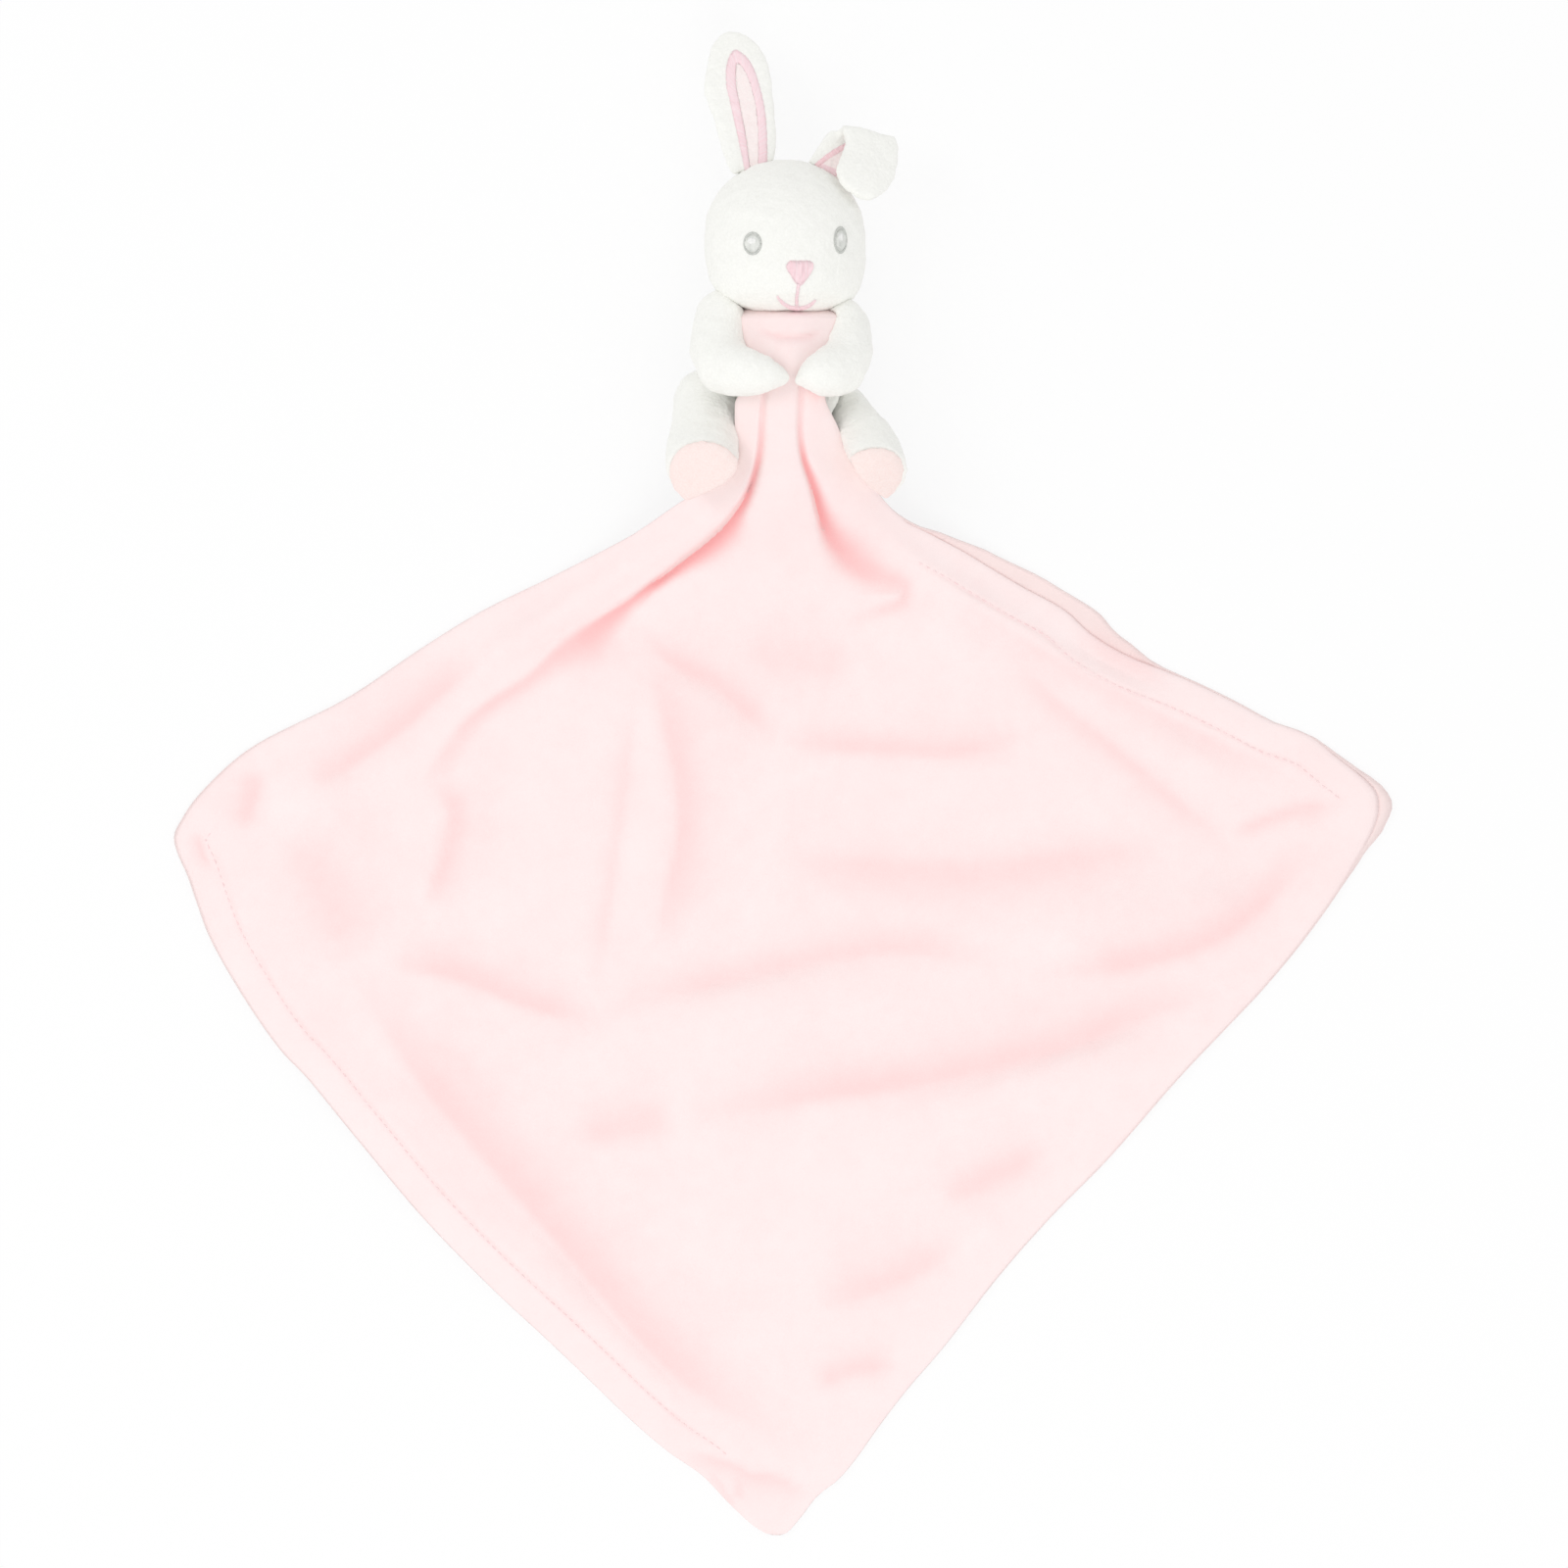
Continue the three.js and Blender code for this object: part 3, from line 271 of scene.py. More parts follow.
def new_piece(name, mesh, material):
    piece = bpy.data.objects.new(name, mesh)
    bpy.context.scene.collection.objects.link(piece)
    piece.data.materials.clear()
    piece.data.materials.append(material)
    return piece


@contextmanager
def edited(mesh):
    """A mesh opened as an editable shape, which is written back at the end."""
    shape = bmesh.new()
    shape.from_mesh(mesh)
    yield shape
    shape.to_mesh(mesh)
    shape.free()


def write_attribute(mesh, name, values):
    """Gives a mesh a number for each of its points, which its material reads."""
    attribute = mesh.attributes.new(name, "FLOAT", "POINT")
    attribute.data.foreach_set("value", np.array(values, np.float32))


MERGE_GAP = 0.01 * MM


def copy_of_nodes(name, nodes, material, domed_above=None):
    """One merged piece from copies of CAD nodes. A dome closes every slot in it above the given Y."""
    mesh = bpy.data.meshes.new(name)
    shape = bmesh.new()
    for node in nodes:
        shape.from_mesh(frame["nodes"][node].data)
    bmesh.ops.remove_doubles(shape, verts=shape.verts, dist=MERGE_GAP)
    if domed_above is not None:
        crown = [shape.verts.new(vert.co) for vert in shape.verts if vert.co.y > domed_above]
        made = bmesh.ops.convex_hull(shape, input=crown)
        inside = [element for element in made["geom_interior"] if isinstance(element, bmesh.types.BMVert)]
        bmesh.ops.delete(shape, geom=inside, context="VERTS")
    shape.to_mesh(mesh)
    shape.free()
    return new_piece(name, mesh, material)


def apply_modifier(piece, kind, **settings):
    select_only(piece)
    bpy.ops.object.modifier_add(type=kind)
    modifier = piece.modifiers[-1]
    for name, value in settings.items():
        setattr(modifier, name, value)
    bpy.ops.object.modifier_apply(modifier=modifier.name)


def remesh(piece, voxel):
    apply_modifier(piece, "REMESH", mode="VOXEL", voxel_size=voxel)


def subdivided(piece):
    apply_modifier(piece, "SUBSURF", levels=1, render_levels=1)


def keep_largest_shell(piece):
    """Leaves the largest of a piece's separate shells, which is its outside."""
    with edited(piece.data) as shape:
        shape.verts.ensure_lookup_table()
        seen = set()
        shells = []
        for start in shape.verts:
            if start.index in seen:
                continue
            shell = [start]
            seen.add(start.index)
            for vert in shell:
                for edge in vert.link_edges:
                    other = edge.other_vert(vert)
                    if other.index not in seen:
                        seen.add(other.index)
                        shell.append(other)
            shells.append(shell)
        shells.sort(key=len)
        for shell in shells[:-1]:
            bmesh.ops.delete(shape, geom=shell, context="VERTS")


def read_vectors(items, field):
    """The vectors of a mesh as the rows of an array."""
    values = np.empty(len(items) * 3, np.float32)
    items.foreach_get(field, values)
    return values.reshape(-1, 3).astype(float)


def points_of(piece):
    return read_vectors(piece.data.vertices, "co")


def normals_of(piece):
    return read_vectors(piece.data.vertex_normals, "vector")


def unit(vectors):
    """Vectors scaled to a length of one."""
    return vectors / np.maximum(np.linalg.norm(vectors, axis=1, keepdims=True), 1e-9)


def set_points(piece, points):
    piece.data.vertices.foreach_set("co", points.astype(np.float32).ravel())
    piece.data.update()


def smoothed(piece, times):
    apply_modifier(piece, "SMOOTH", factor=0.5, iterations=times)


def grown(piece, distance):
    set_points(piece, points_of(piece) + normals_of(piece) * distance)


SWELLING_CLOTH = {
    "quality": 4,
    "mass": 0.02,
    "tension_stiffness": 6,
    "compression_stiffness": 6,
    "bending_stiffness": 0.4,
    "use_pressure": True,
    "uniform_pressure_force": 4,
}
SWELLING_FRAMES = 20


def swollen(piece, cap):
    """Blows a stuffed piece up with cloth pressure, with each point moved by at most cap."""
    before = points_of(piece)
    select_only(piece)
    bpy.ops.object.modifier_add(type="CLOTH")
    cloth = piece.modifiers[-1]
    for name, value in SWELLING_CLOTH.items():
        setattr(cloth.settings, name, value)
    cloth.settings.effector_weights.gravity = 0
    for number in range(1, SWELLING_FRAMES + 1):
        bpy.context.scene.frame_set(number)
    bpy.ops.object.modifier_apply(modifier=cloth.name)
    bpy.context.scene.frame_set(1)
    moved = points_of(piece) - before
    length = np.linalg.norm(moved, axis=1, keepdims=True)
    set_points(piece, before + moved * np.minimum(1, cap / np.maximum(length, 1e-9)))


WAVE_COUNT = 24


def waves(points, size, seed):
    """Smooth seeded noise from -1 to 1 for many points at once."""
    rng = np.random.default_rng(seed)
    total = np.zeros(len(points))
    for _ in range(WAVE_COUNT):
        direction = rng.normal(size=3)
        direction *= 2 * math.pi / size * rng.uniform(0.6, 1.5) / np.linalg.norm(direction)
        total += np.sin(points @ direction + rng.uniform(0, 2 * math.pi))
    return total / math.sqrt(WAVE_COUNT)


CLEAR_OF_FLOOR = 0.05 * MM
CLUMP_SIZE = 9 * MM
TUFT_SIZE = 2.4 * MM
CLUMP_SHARE = 1.6


def finished_plush(piece, pile, seed):
    """Subdivides a stuffed piece and stands its pile up in soft tufts."""
    subdivided(piece)
    points = points_of(piece)
    clumps = waves(points, CLUMP_SIZE, seed) * pile * CLUMP_SHARE
    height = clumps + waves(points, TUFT_SIZE, seed + 1) * pile
    points += normals_of(piece) * height[:, None]
    points[:, 2] = np.maximum(points[:, 2], CLEAR_OF_FLOOR)
    set_points(piece, points)
    shade_smooth(piece)


def pulled(piece, pulls, shrink=1.0):
    """Pulls the surface to the photograph, less and less towards the reach of each pull."""
    for (u, v), height, reach, move, plump in pulls:
        centre = np.array([*(floor_point(u, v) * shrink)[:2], height * MM])
        points = points_of(piece)
        away = np.linalg.norm(points - centre, axis=1)
        nearness = np.exp(-((away / (reach * MM)) ** 2))[:, None]
        change = np.array(move) * MM + normals_of(piece) * plump * MM
        set_points(piece, points + change * nearness)


def surface_of(piece, keep=None):
    """The piece's surface to lay thread on, or the part whose face centres keep accepts."""
    points = [vertex.co.copy() for vertex in piece.data.vertices]
    faces = [list(face.vertices) for face in piece.data.polygons if keep is None or keep(face.center)]
    return BVHTree.FromPolygons(points, faces)


# Stuffed pieces

PILE = 0.1 * MM
EAR_PILE = 0.08 * MM
CROWN_Y = 238 * MM


def stuffed(name, nodes, body, voxel, smooth, pile, seed, cap=0.8 * MM, domed_above=None, fuller=0.0):
    """A stuffed piece: CAD nodes remeshed, smoothed, blown up and given a pile."""
    piece = copy_of_nodes(name, nodes, white_plush, domed_above)
    remesh(piece, voxel * MM)
    keep_largest_shell(piece)
    smoothed(piece, smooth)
    grown(piece, fuller)
    swollen(piece, cap)
    smoothed(piece, 3)
    finished_plush(piece, pile, seed)
    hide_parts(*nodes)
    if body:
        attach(piece, body)
    return piece


head = stuffed(
    "head_plush", ["head_skin", "head_filling"], "head", voxel=1.5, smooth=12, pile=PILE, seed=3,
    domed_above=CROWN_Y, fuller=0.5 * MM
)
stuffed(
    "body_plush", ["body_skin", "body_filling"], "torso", voxel=1.5, smooth=12, pile=PILE, seed=5
)
stuffed("neck_plush", ["neck_filling"], "neck", voxel=1.5, smooth=6, pile=PILE, seed=7)
stuffed("tail_plush", ["tail"], "torso", voxel=1.2, smooth=8, pile=PILE * 2, seed=9)

# How surfaces are pulled to the photograph, to show the plumper paws, the elbows close to the body, the right
# thigh spread and the left one closer in, and the folded ear's corner on the head. Each pull: the pixel that
# shows its place, its height and its reach, the move in X, Y and Z, and the plumping out, in millimetres.
PULLS = {
    "right_arm": [
        ((716, 306), 38, 10, (2.4, 3.8, 0), 0),
        ((788, 382), 60, 13, (0, 0, 0), 1.3),
        ((714, 350), 45, 18, (1.3, 0, 0), 0),
    ],
    "left_arm": [
        ((881, 304), 38, 10, (-5.4, 3.8, 0), 0),
        ((834, 384), 60, 13, (0, 0, 0), 1.3),
        ((884, 352), 45, 18, (-1.3, 0, 0), 0),
    ],
    "right_shoulder": [((747, 309), 44, 9, (0.9, 1.6, 0), 0)],
    "right_leg": [((698, 396), 24, 15, (-2.8, 1, 0), 0), ((681, 452), 44, 16, (-2.4, 0, 0), 0)],
    "left_leg": [((898, 399), 22, 13, (-4.6, -2.6, 0), 0), ((908, 430), 30, 12, (-2, -0.8, 0), 0)],
    "folded_ear": [
        ((862, 190), 40, 9, (-2.6, -0.6, 3.2), 0),
        ((876, 128), 33, 8, (0, 1.6, 0), 0),
        ((886, 168), 42, 12, (0, 0, 0), 0.8),
        ((913, 165), 40, 13, (-1.9, 0, 0), 0),
        ((846, 139), 31, 9, (-0.9, 1.2, 0), 0),
    ],
    "upright_ear": [((735, 46), 22, 10, (-2.2, 0.2, 0), 0), ((726, 98), 28, 10, (-1.4, 0, 0), 0)],
    "right_sole": [((736, 494), 55, 15, (1.1, -1.3, 0), 0), ((684, 482), 55, 15, (0.8, 0, 0), 0)],
    "left_sole": [((884, 492), 55, 15, (-1.2, -1.3, 0), 0), ((917, 512), 55, 15, (-2.6, 1.6, 0), 0)],
}
ARM_GROWTH = 0.35 * MM
RAISED_SHRINK = 0.98

for side, seed in (("right", 11), ("left", 21)):
    for limb, body in (("arm", "torso"), ("leg", side + "_leg")):
        name = f"{side}_{limb}"
        nodes = [name + "_skin", name + "_filling"]
        piece = stuffed(name + "_plush", nodes, body, voxel=1.3, smooth=10, pile=PILE, seed=seed)
        pulled(piece, PULLS[name])
        if limb == "arm":
            grown(piece, ARM_GROWTH)
        if name == "right_arm":
            pulled(piece, PULLS["right_shoulder"])
        seed += 2

ear_nodes = ["right_ear_back", "right_ear_front"]
upright_ear = stuffed(
    "right_ear_plush", ear_nodes, None, voxel=0.9, smooth=8, pile=EAR_PILE, seed=31, cap=0.5 * MM
)
fold_nodes = ["left_ear_base_back", "left_ear_base_front", "left_ear_tip_front", "left_ear_tip_back"]
folded_ear = stuffed(
    "left_ear_plush", fold_nodes, None, voxel=0.9, smooth=6, pile=EAR_PILE, seed=41, cap=0.5 * MM
)
pulled(folded_ear, PULLS["folded_ear"], RAISED_SHRINK)
pulled(upright_ear, PULLS["upright_ear"])


# Soles

for side in ("right", "left"):
    sole = copy_of_nodes(side + "_sole_velour", [side + "_foot_sole"], sole_velour)
    remesh(sole, 0.7 * MM)
    smoothed(sole, 4)
    grown(sole, 0.25 * MM)
    pulled(sole, PULLS[side + "_sole"])
    subdivided(sole)
    shade_smooth(sole)
    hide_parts(side + "_foot_sole")
    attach(sole, side + "_leg")


# Blanket: two velour panels over the body and out over the floor

LEFT_EDGE = [
    (755, 313), (755.5, 336), (762, 357), (766, 381), (755, 401), (750, 410), (750, 440), (753, 460),
    (748, 474), (732, 490), (698, 509), (657, 537), (632, 552), (564, 587), (506, 615), (470, 635),
    (423, 665), (372, 700), (340, 719), (303, 737), (271, 753), (246, 769), (221, 791), (197, 817),
    (183, 839), (178, 849), (178, 860), (184, 877), (191, 892), (203, 927), (214, 956), (234, 993),
    (261, 1036), (288, 1073), (314, 1100), (363, 1160), (430, 1240), (498, 1310), (557, 1365), (597, 1403),
    (629, 1434), (655, 1458), (684, 1482), (716, 1504), (741, 1530), (764, 1552), (780, 1563), (792, 1566),
]
RIGHT_EDGE = [
    (857, 313), (857, 336), (852, 357), (842, 381), (842, 401), (844, 412), (854, 432), (864, 456),
    (876, 476), (894, 499), (907, 515), (927, 533), (938, 538), (980, 560), (1012, 579), (1044, 598),
    (1086, 621), (1114, 646), (1153, 669), (1209, 691), (1260, 715), (1300, 736), (1337, 749), (1366, 772),
    (1390, 791), (1404, 806), (1407, 821), (1405, 835), (1397, 855), (1369, 904), (1329, 960),
    (1289, 1008), (1259, 1040), (1202, 1100), (1132, 1180), (1073, 1240), (1020, 1300), (964, 1372),
    (927, 1415), (897, 1454), (875, 1485), (855, 1509), (834, 1525), (817, 1547), (802, 1564), (794, 1566),
]
# How far the back panel shows past the front one on the right: photograph row and reach in pixels
BACK_PEEK = [
    (313, 0), (520, 0), (533, 4), (546, 16), (562, 26), (590, 36), (622, 31), (652, 26), (690, 3),
    (750, 0.5), (780, 5), (800, 10), (821, 14), (845, 10), (872, 3), (905, 0.5), (1566, 0.5),
]

CLOTH_HALF = 1.35 * MM
CLOTH_THICKNESS = 0.9 * MM
BLANKET_SIDE = 400 * MM
DRAPE_HEIGHT = 50 * MM
DRAPE_REACH = 33 * MM
DRAPE_STEEPNESS = 1.9
DRAPE_SPREAD = 1.7
DRAPE_PLACE = (0.8 * MM, 127.643 * MM)
FLAT_FROM = 1.2
# How the cloth rises on the chest and tucks in under the chin: share of the blanket's side, and height
CHEST_RISE = [(0.34, 0), (0.4, 0.05), (0.44, 0.06), (0.49, 0.02)]
CHIN_TUCK = [(0.477, 0), (0.4812, -2.4 * MM), (0.4835, -6 * MM), (0.487, -7.5 * MM)]

# Pleats: the two deep folds that run out from under the paws. Each point: its pixel in the photograph,
# the depth, the widths on the left and on the right in millimetres, and how strong the painted shade is.
# Left and right are as seen by someone who walks along the line on the floor.
PLEATS = [
    [
        (781, 398, 1.6, 1.36, 1.1, 0.05), (778, 434, 1.9, 1.44, 1.1, 0.22),
        (777, 458, 2.4, 1.53, 1.15, 0.4), (773, 482, 3.2, 1.7, 1.22, 0.6), (764, 508, 5, 2.21, 1.3, 0.92),
        (754, 523, 5.6, 3.4, 1.37, 1), (740, 539, 6, 6.6, 1.37, 1), (720, 556, 6, 6.6, 1.37, 1),
        (701, 570, 5.4, 4.4, 1.3, 0.95), (683, 584, 5, 2.89, 1.3, 0.88), (664, 597, 4.6, 2.55, 1.3, 0.9),
        (643, 613, 4.2, 3.06, 1.44, 0.8), (618, 629, 4, 7.2, 1.87, 0.74), (596, 646, 3.6, 12, 4, 0.6),
        (578, 659, 3, 10, 4.4, 0.5), (560, 674, 2.8, 6, 3, 0.42), (540, 692, 2.6, 4.4, 2.6, 0.36),
        (501, 717, 2.4, 4.4, 2.6, 0.36), (470, 747, 2.2, 4.4, 4, 0.26), (442, 790, 1.4, 8, 4, 0.16),
        (434, 808, 0, 8, 4, 0),
    ],
    [
        (818, 394, 1.6, 2.21, 1.2, 0.22), (816, 429, 1.9, 1.53, 1.26, 0.22),
        (816, 455, 2.4, 1.53, 1.2, 0.36), (820, 478, 3.6, 1.61, 1.2, 0.72),
        (826, 495, 4.6, 2.38, 1.4, 0.85), (831, 512, 6, 3.23, 1.4, 1), (836, 530, 6.4, 4.25, 1.54, 0.98),
        (846, 549, 6, 5.6, 4, 0.8), (857, 562, 5.4, 7, 6, 0.68), (868, 573, 5, 8.6, 6.6, 0.58),
        (885, 584, 4.2, 7, 6, 0.48), (905, 591, 2.8, 4.4, 5, 0.36), (922, 597, 1.6, 3.4, 3.4, 0.3),
        (920, 612, 1.2, 3, 2.6, 0.24), (899, 621, 1, 3.4, 2.6, 0.2), (861, 634, 0, 5, 4, 0),
    ],
]

# Folds, ridges above zero and valleys below: height and widths as for the pleats, and the line
FOLDS = [
    (4, 7, 7, [(753, 506), (701, 548), (620, 593), (521, 656), (431, 712)]),
    (4, 7, 7, [(854, 497), (879, 529), (929, 572), (1020, 632), (1109, 690), (1209, 745)]),
    (4.4, 10, 10, [(888, 653), (946, 628), (1005, 653)]),
    (4, 12, 12, [(241, 930), (331, 1074), (451, 1215), (600, 1349), (720, 1449)]),
    (3.6, 14, 14, [(283, 770), (341, 838), (390, 906)]),
    (3.6, 14, 14, [(507, 740), (478, 818), (468, 897)]),
    (4, 14, 14, [(458, 1053), (566, 1082), (663, 1053), (820, 1023), (995, 1034)]),
    (3.6, 14, 14, [(1288, 897), (1190, 936), (1063, 955)]),
    (3.6, 14, 14, [(1210, 1072), (1093, 1101), (898, 1160)]),
    (3.2, 14, 14, [(644, 701), (712, 740), (780, 799)]),
    (-3, 6, 4, [(652, 640), (683, 672), (735, 701), (774, 738), (796, 756)]),
    (-2, 6, 4, [(790, 748), (815, 758), (878, 762), (982, 765), (1060, 748)]),
    (-2.2, 9, 3.4, [(664, 664), (683, 740), (696, 831), (683, 909), (668, 980)]),
    (-1.3, 2.6, 4.4, [(650, 690), (637, 805), (619, 935), (607, 1020)]),
    (-2.6, 8, 3.6, [(384, 985), (462, 993), (540, 1024), (599, 1037), (622, 1030)]),
    (-1.8, 7, 4, [(610, 1030), (670, 1013), (761, 994), (852, 974), (930, 967), (1034, 987)]),
    (-2.6, 4, 6, [(262, 780), (260, 810), (246, 850)]),
    (-1.6, 14, 14, [(285, 850), (319, 885), (371, 985)]),
    (-2.2, 6, 4, [(430, 792), (462, 818), (456, 870), (432, 930)]),
    (-2.2, 4, 7, [(496, 668), (462, 694), (410, 740), (345, 785), (306, 800)]),
    (-1.6, 10, 6, [(579, 1158), (640, 1152), (696, 1143)]),
    (-3, 9, 5, [(690, 1144), (826, 1117), (956, 1098), (1086, 1065), (1164, 1034), (1262, 1005)]),
    (-2.4, 8, 5, [(1062, 994), (1164, 980), (1255, 948), (1307, 900), (1352, 862)]),
    (-1.8, 8, 10, [(774, 870), (878, 883), (982, 889), (1112, 872), (1206, 862)]),
    (-1.8, 7, 7, [(956, 1221), (1008, 1202), (1073, 1169)]),
    (-1.8, 9, 6, [(826, 1327), (878, 1318), (942, 1290), (985, 1258)]),
    (-2.8, 12, 5, [(345, 961), (436, 1104), (514, 1195), (592, 1286), (670, 1377), (735, 1429), (826, 1476)]),
    (-1.3, 14, 14, [(410, 1052), (470, 1110), (527, 1156)]),
    (-2, 5, 5, [(826, 1416), (865, 1397), (917, 1391)]),
    (-1.6, 4, 5, [(1034, 649), (1060, 701), (1138, 766), (1216, 831), (1268, 872)]),
    (-1.2, 3.6, 6, [(956, 604), (1034, 649), (1112, 695), (1190, 734), (1281, 779), (1335, 806)]),
    (-1.4, 6, 6, [(1099, 642), (1138, 668), (1190, 696)]),
    (-2, 3.2, 3.6, [(1248, 852), (1320, 826), (1366, 820)]),
    (-1.3, 12, 10, [(742, 655), (800, 672), (878, 682)]),
    (
        -1.8, 1.8, 4,
        [(689, 1481), (713, 1484), (744, 1492), (768, 1504), (792, 1506), (811, 1516), (828, 1524)],
    ),
    (-1.4, 2.4, 3, [(756, 1504), (754, 1530)]),
    (-1.4, 2.4, 2.6, [(722, 1496), (738, 1518), (752, 1543)]),
    (-2, 1.6, 2.2, [(200, 848), (206, 866), (213, 885)]),
    (-1.6, 1.1, 1.8, [(772, 345), (780, 350), (794, 354), (810, 355), (826, 353), (840, 347)]),
]

# Painted shade alone, a deeper colour with no fold under it: strength, widths and line, as for the folds
SHADES = [
    (0.4, 2.4, 4.5, [(822, 396), (830, 404), (842, 412)]),
    (0.2, 12, 6, [(640, 640), (600, 655), (560, 672)]),
]
# Painted shade in the valleys: its greatest strength and the valley depth that reaches it, the width of its
# soft halo, the share of its sharp core, and how much narrower it is on a fold's narrow side and on a pleat's
# right
VALLEY_SHADE = 0.3
VALLEY_DEPTH = 7.5 * MM
VALLEY_HALO = 2.6
VALLEY_CORE = 0.65
CRISP_SIDE = 0.68
PLEAT_SIDE = 0.75
LINE_STEP = 4 * MM


def between(table, places):
    """Smoothly eased values of a two-column table."""
    table = np.array(table, float)
    index = np.clip(np.searchsorted(table[:, 0], places, side="right") - 1, 0, len(table) - 2)
    start, end = table[index], table[index + 1]
    part = np.clip((places - start[..., 0]) / (end[..., 0] - start[..., 0]), 0, 1)
    return start[..., 1] + (end[..., 1] - start[..., 1]) * part * part * (3 - 2 * part)


def flowing_line(points, step):
    """A curve through the points, cut in short stretches (Catmull-Rom)."""
    points = np.array(points, float)
    points = np.vstack([2 * points[0] - points[1], points, 2 * points[-1] - points[-2]])
    line = []
    for a, b, c, d in zip(points, points[1:], points[2:], points[3:]):
        count = max(1, int(round(np.linalg.norm(c - b) / step)))
        for t in np.arange(count) / count:
            bend = (2 * a - 5 * b + 4 * c - d) * t**2 + (3 * b - a - 3 * c + d) * t**3
            line.append(0.5 * (2 * b + (c - a) * t + bend))
    line.append(points[-2])
    return np.array(line)


def distance_along(points, line):
    """Signed distance from each point to the line, positive on its left, and the share along the line."""
    best = np.full(len(points), 1e9)
    side = np.zeros(len(points))
    share = np.zeros(len(points))
    for number, (start, end) in enumerate(zip(line, line[1:])):
        run = end - start
        offset = points - start
        part = np.clip(offset @ run / (run @ run), 0, 1)
        away = np.linalg.norm(offset - part[:, None] * run, axis=1)
        nearer = away < best
        best = np.where(nearer, away, best)
        side = np.where(nearer, run[0] * offset[:, 1] - run[1] * offset[:, 0], side)
        share = np.where(nearer, (number + part) / (len(line) - 1), share)
    return best * np.where(side < 0, -1, 1), share


def floor_line(pixels):
    return flowing_line([floor_point(u, v)[:2] for u, v in pixels], LINE_STEP)


def pleat_line(points):
    """A pleat's line on the floor, with its depth, widths and strength of painted shade at places along it.
    """
    line = floor_line([point[:2] for point in points])
    places = []
    for u, v, *_ in points:
        nearest = np.linalg.norm(line - floor_point(u, v)[:2], axis=1).argmin()
        places.append(nearest / (len(line) - 1))
    depth, left, right, strength = np.array(points, float)[:, 2:].T
    return line, places, depth * MM, left * MM, right * MM, strength


def fold_line(strength, left, right, pixels):
    """A fold or a shade with its widths in metres and its line on the floor."""
    return strength, left * MM, right * MM, floor_line(pixels)


PLEAT_LINES = [pleat_line(points) for points in PLEATS]
FOLD_LINES = [fold_line(height * MM, left, right, pixels) for height, left, right, pixels in FOLDS]
SHADE_LINES = [fold_line(*shade) for shade in SHADES]


def bell(distance, width):
    """One on a line, and less and less away from it."""
    return np.exp(-((distance / width) ** 2))


def faded(share, slope, least):
    """One along the middle of a line, and less towards both of its ends."""
    return np.clip(np.minimum(share, 1 - share) * slope, least, 1)


def cloth_height(points):
    """The height of the middle of the cloth, and the strength of painted shade in the folds at each point,
    from 0 to 1.
    """
    across = (points[:, 0] - DRAPE_PLACE[0]) / DRAPE_SPREAD
    below = np.maximum(0, DRAPE_PLACE[1] - points[:, 1])
    away = np.hypot(across, below) / DRAPE_REACH
    along = (points[:, 1] - CAMERA_PLACE.y) / BLANKET_SIDE
    tucked = between(CHIN_TUCK, along)
    drape = np.exp(-(away**DRAPE_STEEPNESS)) + between(CHEST_RISE, along)
    folds = np.zeros(len(points))
    depth = np.zeros(len(points))
    for line, places, *values in PLEAT_LINES:
        distance, share = distance_along(points, line)
        drop, left, right, strength = (np.interp(share, places, value) for value in values)
        folds -= drop * bell(distance, np.where(distance > 0, left, right))
        shade = strength * bell(distance, np.where(distance > 0, left, right * PLEAT_SIDE))
        depth = np.maximum(depth, shade)
    for height, left, right, line in FOLD_LINES:
        distance, share = distance_along(points, line)
        fade = faded(share, 4, 0.1)
        width = np.where(distance > 0, left, right)
        folds += height * fade * bell(distance, width)
        # Valleys also take painted shade: a sharp core with a soft halo
        if height < 0:
            crisp = width * np.where((distance > 0) == (left < right), CRISP_SIDE, 1)
            core = VALLEY_CORE * bell(distance, crisp)
            halo = (1 - VALLEY_CORE) * bell(distance, crisp * VALLEY_HALO)
            depth = np.maximum(depth, (core + halo) * fade * min(VALLEY_SHADE, -height / VALLEY_DEPTH))
    for strength, left, right, line in SHADE_LINES:
        distance, share = distance_along(points, line)
        shade = strength * faded(share, 5, 0.3) * bell(distance, np.where(distance > 0, left, right))
        depth = np.maximum(depth, shade)
    level = np.column_stack([points, np.zeros(len(points))])
    ripple = waves(level, 70 * MM, 61) * 0.5 * MM + waves(level, 24 * MM, 63) * 0.12 * MM
    flat = np.clip((away - FLAT_FROM) / FLAT_FROM, 0, 1)
    return CLOTH_HALF + np.maximum(0, drape * DRAPE_HEIGHT + folds + ripple * flat + tucked), depth


EDGE_STEP = 6


def edge_at(edge, rows):
    """Where an edge of the blanket lies at the given rows of the photograph."""
    line = flowing_line(edge, EDGE_STEP)
    return np.interp(rows, line[:, 1], line[:, 0])


def outline_of(rows, left, right):
    """The panel's outline on the floor, once round and back to its start."""
    pixels = list(zip(left, rows)) + list(zip(right[::-1], rows[::-1]))
    return np.array([floor_point(u, v)[:2] for u, v in pixels + pixels[:1]])


EDGE_ROLL = 2.6 * MM
EDGE_HALF = 0.15 * MM
LOWEST = 0.1 * MM
HEM_INSET = 13.5 * MM
HEM_SWELL = 0.35 * MM
HEM_DENT = 0.45 * MM
HEM_SHADE = 0.12
HEM_ROWS_LEFT = (830, 1500)
HEM_ROWS_RIGHT = (560, 830)
HEM_FADE = 50
DRAPE_ROUNDS = 3


def hem_shown(v, on_left):
    """Where the stitched hem shows: below the feet on the right, and down from the corner on the left."""
    start, end = (np.where(on_left, *rows) for rows in zip(HEM_ROWS_LEFT, HEM_ROWS_RIGHT))
    return np.clip(np.minimum(v - start, end - v) / HEM_FADE, 0, 1)


